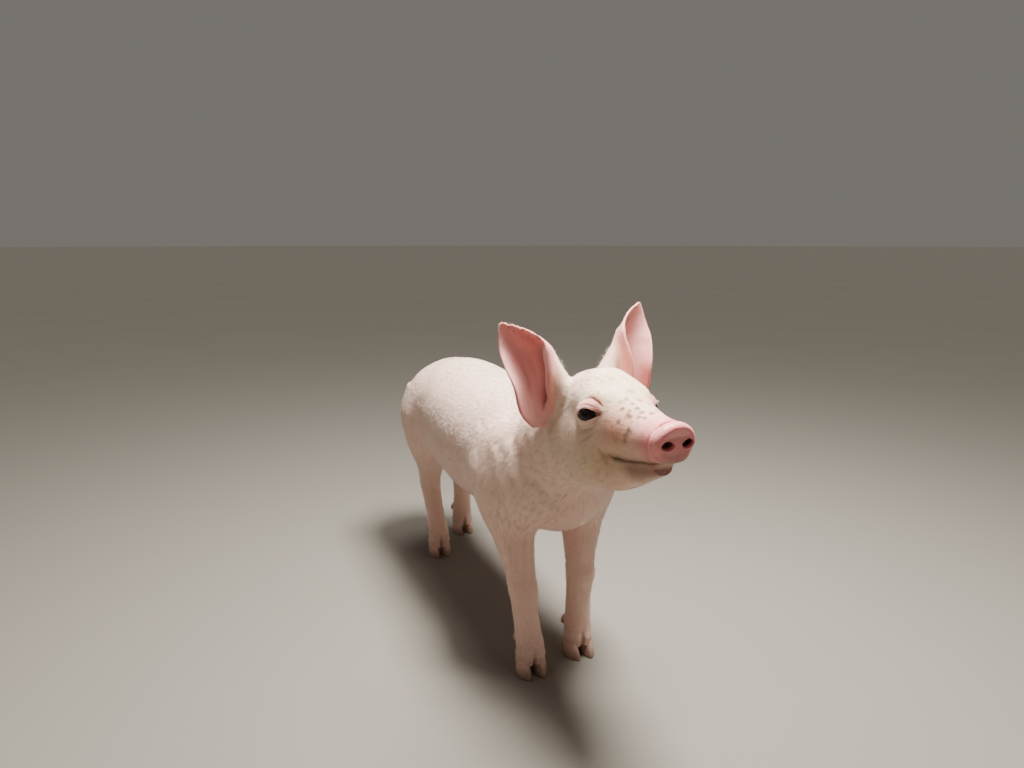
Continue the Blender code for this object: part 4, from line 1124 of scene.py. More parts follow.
def markings_and_painted_light(p):
    """Colour of skin and coat at each point over a pale ground: flush, stains, earth and spots, painted highlight on
    the top of the head and back, the snout and the ears, and painted shade by the depth of folds, in creases, round
    the eyes, in the ears and nostrils and under the lips.
    """
    u, v, w = head_places(p)
    t, n, out, away = eye_places(p)
    on_head = head_share(p, 0.165, 0.20, 0.24)
    side = ramp(np.abs(v), 4 * MM, 14 * MM)
    colour = np.tile(PALE, (len(p), 1))
    # painted highlight: forehead and all that lies high made lighter and warmer, as if lit from above
    colour = toned(colour, TOP_LIGHT_WARM, 0.75 * ramp(w, 14 * MM, 34 * MM) * on_head * bell(u - 2 * MM, 46 * MM))
    colour = toned(colour, TOP_LIGHT_WARM, 0.30 * ramp(p[:, 2], 0.235, 0.28))
    belly = 1 - ramp(p[:, 2], 130 * MM, 215 * MM)
    colour = toned(colour, LEG_PINK, 0.65 * belly)
    cover, hollow = ear_cover(p)
    base = bell(np.linalg.norm(mirrored(p) - vec(0.037, -0.172, 0.317), axis=1), 21 * MM)
    colour = toned(colour, EAR_BACK, 0.55 * base)
    colour = toned(colour, EAR_BACK, cover)
    colour = ear_tones(p, colour, hollow)
    snout = ramp(u, 46 * MM, 62 * MM) * on_head
    muzzle = bell(u - 30 * MM, 26 * MM) * bell(w + 1 * MM, 21 * MM) * on_head
    colour = toned(colour, MUZZLE_TAN, 0.95 * muzzle * (0.45 + 0.55 * side))
    patchy = 0.5 + 0.25 * sin_wave(p[:, 0] + 0.6 * p[:, 1], 0.017) + 0.25 * sin_wave(
        p[:, 2] - 0.8 * p[:, 1], 0.013)
    colour = toned(colour, STAIN_AND_SHADE, 0.95 * patchy * bell(u - 12 * MM, 22 * MM) * ramp(
        w, 10 * MM, 22 * MM) * on_head)
    # darker beige under the cheek and over the jaw
    colour = toned(colour, STAIN_AND_SHADE * 0.86, 0.62 * bell(u - 2 * MM, 34 * MM) * bell(
        w + 30 * MM, 20 * MM) * on_head)
    under_snout = 1 - ramp(w, -28 * MM, -20 * MM)
    colour = toned(colour, SNOUT_PINK, snout * (0.92 - 0.70 * under_snout))
    x, y, z = disc_places(p)
    ring = np.hypot(x / DISC_SIZE[0], z / DISC_SIZE[2])
    face = snout * (1 - ramp(y, 1 * MM, 4 * MM))
    # painted highlight on the top of the disc's face
    colour = toned(colour, SNOUT_HIGHLIGHT, 0.55 * bell(z - 9 * MM, 5 * MM) * bell(x, 12 * MM) * face)
    # painted highlight on the top of the snout behind the disc
    colour = toned(colour, SNOUT_HIGHLIGHT, 0.45 * bell(u - 55 * MM, 6 * MM) * ramp(w, -8 * MM, 4 * MM) * on_head)
    # painted shade over the middle and lower part of the disc's face
    colour = toned(colour, SNOUT_FACE_SHADE, 0.55 * (1 - ramp(ring, 0.62, 0.90)) * (
        1 - ramp(z, 3 * MM, 9 * MM)) * face)
    # painted shade inside the disc's raised rim
    colour = toned(colour, SNOUT_RIM_SHADE, 0.55 * bell(ring - 0.86, 0.09) * ramp(z, -8 * MM, 3 * MM) * face)
    # painted shade in the crease behind the disc
    colour = toned(colour, SNOUT_RIM_SHADE, 0.55 * bell(y - 5.6 * MM, 1.6 * MM) * snout)
    across, high, deep = nostril_places(p)
    opening = np.hypot(across / NOSTRIL_SIZE[0], high / NOSTRIL_SIZE[1])
    # painted shade at the nostrils' edges
    colour = toned(colour, SNOUT_RIM_SHADE, 0.70 * bell(opening - 0.9, 0.45) * snout)
    # painted shade: the nostrils made dark inside
    colour = toned(colour, EARTH_AND_SHADE * 0.22, snout * ramp(deep, 0.2 * MM, 2.4 * MM) * (
        opening < 1.25) * (ring < 0.9))
    above, below = lid_edges(t)
    arch = crease_height(t)
    front = ramp(out, 0, 4 * MM)
    ends = 1 - ramp(np.abs(t - 0.5 * MM), 10 * MM, 15 * MM)
    lid = ramp(n, above - 1 * MM, above + 1 * MM) * (1 - ramp(n - arch, 1 * MM, 6 * MM)) * ends * front
    colour = toned(colour, LID_PINK, 0.92 * lid)
    # painted shade in the crease over the upper lid
    colour = toned(colour, FOLD_SHADE * 1.15, 0.55 * bell(n - arch, 1.2 * MM) * ends * front)
    rim = bell(n - above, 0.8 * MM) + bell(n - below, 0.5 * MM)
    # painted shade along the edges of both lids
    colour = toned(colour, EYELID_SHADE * 0.7, 0.80 * rim * (1 - ramp(np.abs(t), 11 * MM, 13 * MM)) * front)
    pit = front * ramp(t, 6.6 * MM, 8.2 * MM) * (1 - ramp(t, 12 * MM, 15 * MM)) * bell(n, 1.9 * MM)
    # painted shade in the eye's front corner
    colour = toned(colour, EYELID_SHADE, 0.85 * pit)
    colour = toned(colour, LID_EDGE, 0.60 * bell(n - below + 1.3 * MM, 0.8 * MM) * bell(t - MM, 9 * MM) * front)
    span = bell(t + 1.0 * MM, 10 * MM) * front
    for drop, lean, much, wide in WRINKLES:
        line = n - drop - lean * t - 0.35 * MM * sin_wave(t, 7 * MM)
        # painted shade in the wrinkles below the eye, darker where they are deeper
        colour = toned(colour, STAIN_AND_SHADE * 0.50, 0.62 * much / MM * bell(line, 1.35 * wide) * span)
    behind = np.maximum(-t - OPENING_BACK, 0)
    temple = bell(n - 0.4 * MM + 0.10 * behind, 1.7 * MM) * ramp(-t, 7 * MM, 9 * MM) * bell(behind, 13 * MM)
    # painted shade in the temple's crease behind the eye
    colour = toned(colour, FOLD_SHADE * 1.1, 0.75 * temple * front)
    # painted shade by the depth of folds below the smooth body
    depth = np.clip(-flesh_distance(p) - coat_depth(p), 0, None)
    colour = toned(colour, FOLD_SHADE, 0.60 * ramp(depth, 0.2 * MM, 1.6 * MM) * on_head * (
        away > EYE_RADIUS) * (1 - snout))
    mouth = w - mouth_height(u)
    lips = ramp(u, 12 * MM, 20 * MM) * on_head
    # painted shade over the lower lip and chin, below the snout
    colour = toned(colour, LIP_SHADE, 0.85 * bell(mouth + 8 * MM, 11 * MM) * lips * ramp(u, 20 * MM, 38 * MM))
    # painted shade in the line of the mouth
    colour = toned(colour, EARTH_AND_SHADE, 0.55 * bell(mouth, 1.8 * MM) * lips)
    colour = toned(colour, EARTH_AND_SHADE, 0.60 * bell(mouth - 0.5 * MM, 3.6 * MM) * lips * bell(u - 22 * MM, 9 * MM))
    for at_u, at_v, at_w, radius, strength in SPOTS:
        far = np.sqrt((u - at_u) ** 2 + (v - at_v) ** 2 + (w - at_w) ** 2)
        ragged = 0.15 * sin_wave(u + 2 * w + 7 * at_w, 3.1 * MM), 0.16 * sin_wave(v - u + 5 * at_u, 1.9 * MM)
        far = far * (1 + ragged[0] + ragged[1]) - 0.9 * MM
        colour = toned(colour, SPOT, min(1.3 * strength, 0.92) * (
            1 - ramp(far, radius * 0.25, radius)) * on_head)
    low = 1 - ramp(p[:, 2], 8 * MM, 60 * MM)
    colour = toned(colour, EARTH_AND_SHADE * vec(1.9, 2.1, 2.4), 0.34 * low)
    for _, _, toe_x, toe_y in LEGS.values():
        near_toe = bell(p[:, 0] - toe_x, 2.2 * MM) * (1 - ramp(p[:, 2], 14 * MM, 28 * MM)) * (
            np.abs(p[:, 1] - toe_y - 0.012) < 0.02)
        colour = toned(colour, EARTH_AND_SHADE, 0.55 * near_toe)
    return colour


def laid_over(way, other, share):
    """Shares out two ways: way * (1 - share) + other * share."""
    return way * (1 - share)[:, None] + other * share[:, None]


def lie_of_coat(p):
    """Which way hair lies: back from the snout, back along the trunk, down limbs, up ears."""
    _, _, w = head_places(p)
    way = np.tile(vec(0, 1, 0), (len(p), 1))
    on_head = head_share(p, 0.165, 0.205)
    back = np.tile(-HEAD_ALONG, (len(p), 1))
    back = back + vec(0, 0, -0.55) * (1 - ramp(w, -12 * MM, 18 * MM))[:, None]
    way = toned(way, 0, on_head) + back * on_head[:, None]
    neck = ramp(-p[:, 1], 0.02, 0.11) * (1 - on_head)
    way = way + vec(0, -0.15, -0.75) * (neck * ramp(np.abs(p[:, 0]), 0.02, 0.055))[:, None]
    flank = (1 - ramp(p[:, 2], 0.16, 0.235)) * (1 - on_head)
    way = way + vec(0, 0, -0.55) * flank[:, None]
    limb = (1 - ramp(p[:, 2], 0.105, 0.165)) * (1 - on_head)
    way = laid_over(way, vec(0, 0.22, -1.0), limb)
    rump = ramp(p[:, 1], 0.215, 0.25) * (1 - limb)
    way = laid_over(way, vec(0, 0.25, -1.0), rump)
    tail = ramp(p[:, 1], 0.255, 0.262) * ramp(p[:, 2], 0.15, 0.16)
    points = np.array(tail_points())
    nearest = np.argmin(np.linalg.norm(p[:, None] - points[None, :-1], axis=2), axis=1)
    links = np.diff(points, axis=0)[nearest]
    way = laid_over(way, links / TAIL_LINK, tail)
    cover, _ = ear_cover(p)
    for side, lobe, tip, *_ in EARS.values():
        way = laid_over(way, unit(tip - lobe), cover * (side * p[:, 0] > 0.012))
    return way


# --- The coat: closed three-sided bristles, two to a tuft ---
HAIR_POINTS, HAIR_FACES = 7, 10         # of one hair
MOST_FACES = 200000                     # of one piece
REGIONS = ["head", "ears", "neck", "shoulders", "flanks", "rump", "forelegs", "hindlegs", "tail", "face"]


def region_of(p):
    """Number of the coat piece that each root belongs to."""
    s, _, _ = neck_places(p)
    cover, _ = ear_cover(p)
    number = np.select([p[:, 1] < 0.045, p[:, 1] < 0.135], [3, 4], 5)
    number = np.where((p[:, 1] < -0.04) & (s > 0.045) & (p[:, 2] > 0.15), 2, number)
    u, _, _ = head_places(p)
    number = np.where((s > 0.112) & (p[:, 1] < -0.13), np.where(u > 0, 9, 0), number)
    number = np.where(cover > 0.5, 1, number)
    number = np.where((p[:, 2] < 0.135) & (p[:, 1] < -0.02) & (number > 1) & (number < 9), 6, number)
    number = np.where((p[:, 2] < 0.128) & (p[:, 1] > 0.12), 7, number)
    return np.where(on_tail(p), 8, number)


def unwrapped(p, region):
    """Each root's place on the region's skin opened out: turn about its own axis, and way along it."""
    name = REGIONS[region]
    if name in ("head", "face"):
        u, v, w = head_places(p)
        return turn_share(v, w + 4 * MM), (u + 75 * MM) / 0.16
    if name == "ears":
        across, high = np.zeros(len(p)), np.zeros(len(p))
        for shift, (ear, (side, *_)) in enumerate(EARS.items()):
            own = side * p[:, 0] > 0
            along, turn, depth, _, _ = ear_places(p[own], ear)
            across[own] = 0.25 * shift + 0.125 + 0.115 * np.clip(turn, -1, 1) + np.where(depth < 0, 0.5, 0)
            high[own] = (along + 12 * MM) / 0.125
        return across, high
    if name == "neck":
        s, v, w = neck_places(p)
        return turn_share(v, w), (s - 30 * MM) / 0.10
    if name in ("forelegs", "hindlegs"):
        across = np.zeros(len(p))
        for leg, (side, fore, *_) in LEGS.items():
            own = (side * p[:, 0] > 0) & (fore == (name == "forelegs"))
            table = leg_table(leg)
            mid_x, mid_y = curve(table, 1, p[own, 2]), -curve(table, 2, p[own, 2])
            turn = turn_share(p[own, 0] - mid_x, p[own, 1] - mid_y)
            across[own] = 0.5 * (side > 0) + 0.49 * turn
        return across, p[:, 2] / 0.14
    if name == "tail":
        return turn_share(p[:, 0], p[:, 1] - 0.27), (p[:, 2] - 0.16) / 0.11
    low, length = {"shoulders": (-0.16, 0.21), "flanks": (0.04, 0.10), "rump": (0.13, 0.16)}[name]
    return turn_share(p[:, 0], p[:, 2] - 0.205), (p[:, 1] - low) / length


def bristle_length(p):
    """Length of hair: longest on neck and back, short on face, ears and feet."""
    u, _, w = head_places(p)
    on_head = head_share(p, 0.175, 0.21)
    length = 8.2 * MM + (5.6 * MM - 3.0 * MM * ramp(u, -10 * MM, 45 * MM) - 8.2 * MM) * on_head
    length = length + 1.6 * MM * bell(w + 34 * MM, 12 * MM) * on_head
    length = length * (0.52 + 0.48 * ramp(p[:, 2], 25 * MM, 120 * MM))
    cover, _ = ear_cover(p)
    length = length + (3.4 * MM - length) * cover
    eye = eye_places(p)[3]
    length = np.minimum(length, 1.5 * MM + 0.32 * np.maximum(eye - 10 * MM, 0))
    return np.where(on_tail(p), 5.5 * MM, length)


def thickly(p, outward):
    """How thickly hair grows: none on the snout's disc, in nostrils, eyes and ear canals, or under the feet."""
    u, _, w = head_places(p)
    t, n, out, away = eye_places(p)
    on_head = head_share(p, 0.175, 0.21)
    much = 1 + (0.8 - 0.9 * ramp(u, -2 * MM, 30 * MM)) * on_head
    _, y, _ = disc_places(p)
    disc = (y < 6.5 * MM) & (p[:, 2] > 0.264) & (p[:, 1] < -0.29)
    much = np.where(disc, 0, much)
    above, below = lid_edges(t)
    margin = (away < EYE_RADIUS + 4.5 * MM) & (n < above + 1.2 * MM) & (n > below - 1.0 * MM) & (
        np.abs(t) < 10 * MM) & (out > -2 * MM)
    much = np.where(margin | (away < EYE_RADIUS + 0.9 * MM), 0, much)
    cover, hollow = ear_cover(p)
    much = np.where(cover > 0.5, 0.75 - 0.60 * hollow, much)
    for name, (side, *_) in EARS.items():
        own = p * vec(side, 1, 1)
        much = np.where((side * p[:, 0] > 0) & (rod_distance(own, *CANAL[name], 0, 0) < 6 * MM), 0, much)
    mouth = np.abs(w - mouth_height(u))
    much = np.where((u > 12 * MM) & (mouth < 0.9 * MM), 0, much)
    much = np.where((p[:, 2] < 0.020) | ((p[:, 2] < 0.05) & (outward[:, 2] < -0.75)), 0, much)
    return much * (1 - 0.45 * (1 - ramp(p[:, 2], 0.03, 0.15)) * (1 - on_head))


def bristles(roots, along, outward, length, width, root_lift, tip_lift, wanted_height=None):
    """Closed spikes of ten triangles.  Two straight halves bend from the root's lift to the tip's."""
    across = np.cross(outward, along)
    half = (length / 2)[:, None]
    start = roots - outward * 0.25 * MM
    middle = roots + half * (along * np.cos(root_lift)[:, None] + outward * np.sin(root_lift)[:, None])
    tip = middle + half * (along * np.cos(tip_lift)[:, None] + outward * np.sin(tip_lift)[:, None])
    if wanted_height is not None:
        for place, share in ((middle, 0.55), (tip, 1.0)):
            short = share * wanted_height - in_slices(body_distance, place)
            place += outward * np.clip(short, -1.5 * MM, 2 * MM)[:, None]
    points = np.empty((len(roots), HAIR_POINTS, 3))
    for k in range(3):
        turn = 2 * pi * k / 3 + pi / 2
        ring = across * cos(turn) + outward * sin(turn)
        points[:, k] = start + ring * (width / 2)[:, None]
        points[:, 3 + k] = middle + ring * (width * 0.42)[:, None]
    points[:, 6] = tip
    faces = [(0, 2, 1), (3, 4, 6), (4, 5, 6), (5, 3, 6)]
    for k in range(3):
        following = (k + 1) % 3
        faces += [(k, following, 3 + following), (k, 3 + following, 3 + k)]
    faces = (np.arange(len(roots)) * HAIR_POINTS)[:, None, None] + np.array(faces)[None]
    return points.reshape(-1, 3), faces.reshape(-1, 3)


PATCH_SIZE, UV_MARGIN = 0.003, 0.0005
PATCH_PLACES = np.array([[-0.5, -0.5], [0, -0.5], [0.5, -0.5], [-0.4, 0], [0, 0.05], [0.4, 0], [0, 0.5]])


def give_patches(mesh, faces, place, number):
    """UV map in which each tuft is a small patch at its root's place; its hairs share that patch."""
    uv = mesh.uv_layers.new(name="OFBake")
    corner = faces.reshape(-1)
    hair = corner // HAIR_POINTS
    patch = place[number[hair]] + PATCH_SIZE * PATCH_PLACES[corner % HAIR_POINTS]
    uv.data.foreach_set("uv", np.clip(patch, UV_MARGIN, 1 - UV_MARGIN).astype(np.float32).ravel())


def scattered_roots(skin, hairs, seed):
    """Roots of the tufts, scattered by area and thickness of growth, and the source of all further draws."""
    draw = np.random.default_rng(seed)
    mesh = skin.data
    points = np.empty(len(mesh.vertices) * 3)
    mesh.vertices.foreach_get("co", points)
    points = points.reshape(-1, 3) - SHIFT
    triangles = np.empty(len(mesh.loops), np.int32)
    mesh.loops.foreach_get("vertex_index", triangles)
    triangles = triangles.reshape(-1, 3)
    a, b, c = points[triangles[:, 0]], points[triangles[:, 1]], points[triangles[:, 2]]
    normal = np.cross(b - a, c - a)
    area = np.linalg.norm(normal, axis=1)
    middle = (a + b + c) / 3
    weight = area * thickly(middle, normal / (area[:, None] + 1e-15))
    tufts = hairs // 2
    chosen = draw.choice(len(triangles), tufts, p=weight / weight.sum())
    r1, r2 = np.sqrt(draw.random(tufts)), draw.random(tufts)
    roots = (a[chosen] * (1 - r1)[:, None] + b[chosen] * (r1 * (1 - r2))[:, None]
             + c[chosen] * (r1 * r2)[:, None])
    return roots, draw


# --- Eyes, claws and dewclaws ---
def closed_grid(rows, around):
    """Quads of a grid that closes round its second parameter, with a fan at each end; ends are last points."""
    row, turn = np.meshgrid(np.arange(rows - 1), np.arange(around), indexing="ij")
    following = (turn + 1) % around
    quads = np.stack([row * around + turn, row * around + following,
                      (row + 1) * around + following, (row + 1) * around + turn], axis=-1).reshape(-1, 4)
    triangles = np.concatenate([quads[:, [0, 1, 2]], quads[:, [0, 2, 3]]])
    k = np.arange(around)
    first = np.stack([np.full(around, rows * around), (k + 1) % around, k], axis=1)
    last_row = (rows - 1) * around
    last = np.stack([np.full(around, rows * around + 1), last_row + k, last_row + (k + 1) % around], axis=1)
    return np.concatenate([triangles, first, last])


def around_and_down(down, around):
    """The values `down` and even turns round an axis, each as a whole grid."""
    return np.meshgrid(down, np.arange(around) * 2 * pi / around, indexing="ij")


def closed_faces(points, rows, around):
    """Faces of a closed grid, turned over if they enclose a negative volume."""
    faces = closed_grid(rows, around)
    a, b, c = ((points - points.mean(axis=0))[faces[:, i]] for i in range(3))
    return faces if (np.cross(a, b) * c).sum() > 0 else faces[:, ::-1]


def eyeball(side, bulge):
    """A ball whose front swells into the cornea: radius = R + bulge * bell(angle from the way it looks)."""
    around, rows = 72, 70
    axes = eye_axes(side)
    angle, turn = around_and_down(np.linspace(0, pi, rows + 2)[1:-1], around)
    radius = EYE_RADIUS + bulge * bell(angle, 0.62)
    grid = radius[..., None] * (np.sin(angle)[..., None] * (np.cos(turn)[..., None] * axes[0]
                                + np.sin(turn)[..., None] * axes[1]) + np.cos(angle)[..., None] * axes[2])
    ends = np.array([(EYE_RADIUS + bulge) * axes[2], -EYE_RADIUS * axes[2]])
    points = np.concatenate([grid.reshape(-1, 3), ends]) + EYE_AT * vec(side, 1, 1) + SHIFT
    from_axis = np.concatenate([angle.ravel(), [0, pi]])
    return points, closed_faces(points, rows, around), from_axis


def claw_surface(fore, side, toe_x, toe_y):
    """Level outlines, pointed in front, that shrink and lean back as they rise, with faint growth rings."""
    around, rows = 64, 34
    length, width = CLAW_LENGTH[fore], CLAW_WIDTH[fore]
    rise, turn = around_and_down(np.linspace(0, 1, rows), around)
    front = np.cos(turn)
    edge = 1 - 0.075 * (1 - ramp(rise, 0, 0.09)) - 0.10 * ramp(rise, 0.90, 1.0)
    edge = edge - 0.010 * sin_wave(rise, 0.145) * ramp(rise, 0.1, 0.2) * ramp(front, -0.6, 0.2)
    pointed = 1 - 0.42 * np.maximum(front, 0) ** 2
    x = 0.5 * width * np.sin(turn) * pointed * (1 - 0.16 * rise) * edge
    y = -0.5 * length * front * (1 - 0.10 * rise) * edge + CLAW_LEAN * rise * (0.5 + 0.5 * front)
    tall = CLAW_HEEL_HEIGHT + (CLAW_HEIGHT - CLAW_HEEL_HEIGHT) * (0.5 + 0.5 * front)
    z = tall * rise
    angle = -side * CLAW_SPLAY
    middle = vec(side * (CLAW_GAP + width) / 2, length / 2)
    grid = np.stack([toe_x + middle[0] + x * cos(angle) - y * sin(angle),
                     toe_y + middle[1] + x * sin(angle) + y * cos(angle), z], axis=-1).reshape(-1, 3)
    ends = [grid[:around].mean(axis=0), grid[-around:].mean(axis=0)]
    points = np.concatenate([grid, ends]) + SHIFT
    return (points, closed_faces(points, rows, around),
            np.concatenate([rise.ravel(), [0, 1]]), np.concatenate([front.ravel(), [0, 0]]))


def dewclaw_surface(fore, side, toe_x, toe_y):
    """A blunt cone that points down and back: a ball drawn out to its three sizes and turned."""
    around, rows = 32, 26
    out, back, high = DEWCLAW_AT[fore]
    angle, turn = around_and_down(np.linspace(0, pi, rows + 2)[1:-1], around)
    ball = np.stack([np.sin(angle) * np.cos(turn), np.sin(angle) * np.sin(turn), -np.cos(angle)], axis=-1)
    ball = np.concatenate([ball.reshape(-1, 3), [[0, 0, -1], [0, 0, 1]]])
    rise = 0.5 + 0.5 * ball[:, 2]
    q = ball * DEWCLAW_SIZE * (1 - 0.02 * sin_wave(rise, 0.2))[:, None]
    lean = -side * radians(10)
    q = np.stack([q[:, 0] * cos(lean) + q[:, 2] * sin(lean), q[:, 1],
                  q[:, 2] * cos(lean) - q[:, 0] * sin(lean)], axis=-1)
    tip = radians(28)
    q = np.stack([q[:, 0], q[:, 1] * cos(tip) - q[:, 2] * sin(tip),
                  q[:, 1] * sin(tip) + q[:, 2] * cos(tip)], axis=-1)
    points = q + vec(toe_x + side * out, toe_y + back, high) + SHIFT
    return points, closed_faces(points, rows, around), rise, np.zeros(len(points))


# --- Finishes ---
class Wire:
    """A node's output that can be reckoned with: each operator adds a Math node."""

    def __init__(self, maker, socket):
        self.maker, self.socket = maker, socket

    def reckon(self, operation, *values):
        """One Math node on wires or numbers."""
        return self.maker.node("ShaderNodeMath", {"operation": operation}, values)

    def __add__(self, other):
        return self.reckon("ADD", self, other)

    def __radd__(self, other):
        return self.reckon("ADD", other, self)

    def __sub__(self, other):
        return self.reckon("SUBTRACT", self, other)

    def __rsub__(self, other):
        return self.reckon("SUBTRACT", other, self)

    def __mul__(self, other):
        return self.reckon("MULTIPLY", self, other)

    def __rmul__(self, other):
        return self.reckon("MULTIPLY", other, self)

    def smooth(self, low, high):
        """Smooth step from 0 at low to 1 at high."""
        return self.maker.node(
            "ShaderNodeMapRange", {"interpolation_type": "SMOOTHSTEP"}, (self, low, high, 0, 1))


class Maker:
    """Builds one material."""

    def __init__(self, name):
        self.material = bpy.data.materials.new(name)
        self.material.use_nodes = True
        self.tree = self.material.node_tree
        self.tree.nodes.clear()

    def node(self, kind, settings=None, inputs=(), output=0):
        """Any node: its settings first, then values or wires for its sockets, and the wire of one output."""
        made = self.tree.nodes.new(kind)
        for name, value in (settings or {}).items():
            setattr(made, name, value)
        for key, value in inputs.items() if isinstance(inputs, dict) else enumerate(inputs):
            if isinstance(value, Wire):
                self.tree.links.new(value.socket, made.inputs[key])
            else:
                made.inputs[key].default_value = value
        return Wire(self, made.outputs[output])

    def place(self):
        """Place in the piece's own axes."""
        return self.node("ShaderNodeTexCoord", output="Object")

    def stretched(self, scale):
        """Place, scaled along each axis."""
        return self.node("ShaderNodeVectorMath", {"operation": "MULTIPLY"}, (self.place(), scale))

    def noise(self, scale, detail=2.0, place=None, roughness=0.5):
        """Noise at a place, or at the piece's own place."""
        return self.node("ShaderNodeTexNoise", {}, {
            "Vector": place or self.place(), "Scale": scale, "Detail": detail, "Roughness": roughness})

    def attribute(self, name, output="Fac"):
        """A value or colour that the mesh carries."""
        return self.node("ShaderNodeAttribute", {"attribute_name": name}, output=output)

    def mix(self, factor, one, other):
        """One colour mixed with another by a factor."""
        return self.node("ShaderNodeMix", {"data_type": "RGBA"}, {0: factor, 6: one, 7: other}, 2)

    def bump(self, height, distance, strength=1.0, below=None):
        """A normal bent by a height, over another bump if one is given."""
        inputs = {"Strength": strength, "Distance": distance, "Height": height}
        if below:
            inputs["Normal"] = below
        return self.node("ShaderNodeBump", {}, inputs)

    def finish(self, **sockets):
        """The principled shader with these sockets, named with underscores for spaces."""
        shader = self.node("ShaderNodeBsdfPrincipled", {}, {
            name.replace("_", " "): value for name, value in sockets.items()})
        self.tree.links.new(shader.socket, self.tree.nodes.new("ShaderNodeOutputMaterial").inputs[0])
        return self.material


def rgba(colour):
    """A colour for a socket, with full alpha."""
    return (*[float(value) for value in colour], 1.0)


def skin_finish():
    """Living skin: the colour worked out by place, with its painted light and shade, mottled with blood below; pores,
    and streaks that lie with the coat.
    """
    m = Maker("pig_skin")
    tint = m.attribute("tint", "Color")
    mottle = m.noise(38.0, 3.0).smooth(0.42, 0.68)
    speck = m.noise(210.0, 3.0).smooth(0.40, 0.75)
    bare, down, grime = m.attribute("bare"), m.attribute("down"), m.attribute("grime")
    colour = m.mix(mottle * 0.16, tint, rgba((0.74, 0.36, 0.32)))
    colour = m.mix(speck * 0.10, colour, rgba((0.66, 0.42, 0.33)))
    dirt = m.noise(330.0, 5.0, roughness=0.65).smooth(0.50, 0.66) * grime
    colour = m.mix(dirt * 0.75, colour, rgba((0.20, 0.125, 0.070)))
    along = m.noise(1500.0, 2.0, m.stretched((1.0, 0.09, 1.0)))
    below = m.noise(1500.0, 2.0, m.stretched((1.0, 1.0, 0.09)))
    streak = along * (1 - down) + below * down
    pale_hair = streak.smooth(0.46, 0.70) * (1 - bare)
    colour = m.mix((0.16 + 0.16 * pale_hair) * (1 - m.attribute("flush")), colour, rgba((0.93, 0.81, 0.68)))
    pores = m.node("ShaderNodeTexVoronoi", {"feature": "F1"}, {"Vector": m.place(), "Scale": 900.0})
    cells = m.node("ShaderNodeTexVoronoi", {"feature": "F1"}, {"Vector": m.place(), "Scale": 620.0})
    rough = 0.50 + 0.14 * speck - 0.16 * bare
    normal = m.bump(m.noise(160.0, 3.0), 0.0006, 0.5)
    normal = m.bump(streak * (1 - bare), 0.0003, 0.6, normal)
    normal = m.bump(pores, 0.00018, 0.35, normal)
    normal = m.bump(cells * bare, 0.00045, 0.55, normal)
    return m.finish(Base_Color=colour, Roughness=rough, Normal=normal, Subsurface_Weight=0.24,
                    Subsurface_Radius=(1.0, 0.34, 0.22), Subsurface_Scale=0.0036, Sheen_Weight=0.12,
                    Sheen_Roughness=0.5, IOR=1.42)


def coat_finish():
    """Fine pale hair that takes the skin's colour at its foot, painted light and shade included."""
    m = Maker("pig_coat")
    tint = m.attribute("tint", "Color")
    colour = m.mix(m.noise(400.0, 1.0).smooth(0.35, 0.7) * 0.18, tint, rgba((0.95, 0.85, 0.71)))
    return m.finish(Base_Color=colour, Roughness=0.42, Sheen_Weight=0.05, IOR=1.5)


def eye_finish(look):
    """Dark brown eye: round pupil lost in a nearly black iris, a soft darker rim, a pinkish white beyond."""
    m = Maker("pig_eye")
    angle = m.attribute("from_axis")
    brown = m.mix(m.noise(700.0, 4.0), rgba(look.iris), rgba([value * 2.4 for value in look.iris]))
    ring = m.mix(angle.smooth(0.24, 0.31), rgba((0.004, 0.004, 0.005)), brown)
    ring = m.mix(angle.smooth(0.72, 0.86), ring, rgba((0.008, 0.006, 0.006)))
    white = m.mix(m.noise(260.0, 4.0).smooth(0.45, 0.7), rgba((0.60, 0.50, 0.46)), rgba((0.55, 0.22, 0.20)))
    colour = m.mix(angle.smooth(0.93, 1.02), ring, white)
    return m.finish(Base_Color=colour, Roughness=0.25, Coat_Weight=0.28, Coat_Roughness=0.02, IOR=1.36,
                    Specular_IOR_Level=0.2)


def claw_finish():
    """Horn: tan with a pink root, grey-brown towards the toe, fine rings and scratches, earth at the ground."""
    m = Maker("pig_claw")
    rise, front = m.attribute("rise"), m.attribute("front")
    grain = m.noise(300.0, 4.0, m.stretched((1.0, 1.0, 0.35)))
    colour = m.mix(rise.smooth(0.10, 0.80), rgba((0.33, 0.200, 0.135)), rgba((0.66, 0.385, 0.315)))
    toe = front.smooth(0.2, 0.95) * (1 - rise.smooth(0.1, 0.7)) * 0.6
    colour = m.mix(toe, colour, rgba((0.17, 0.105, 0.080)))
    colour = m.mix(grain.smooth(0.40, 0.70) * 0.35, colour, rgba((0.40, 0.27, 0.20)))
    soil = (1 - rise.smooth(0.0, 0.30)) * m.noise(500.0, 4.0).smooth(0.35, 0.65)
    colour = m.mix(soil * 0.8, colour, rgba((0.135, 0.085, 0.050)))
    rings = m.node("ShaderNodeMath", {"operation": "SINE"}, (rise * 62.0,))
    normal = m.bump(rings, 0.00010, 0.5)
    normal = m.bump(grain, 0.0004, 0.6, normal)
    return m.finish(Base_Color=colour, Roughness=0.42 + 0.2 * soil, Normal=normal, Subsurface_Weight=0.08,
                    Subsurface_Radius=(1.0, 0.4, 0.25), Subsurface_Scale=0.002)


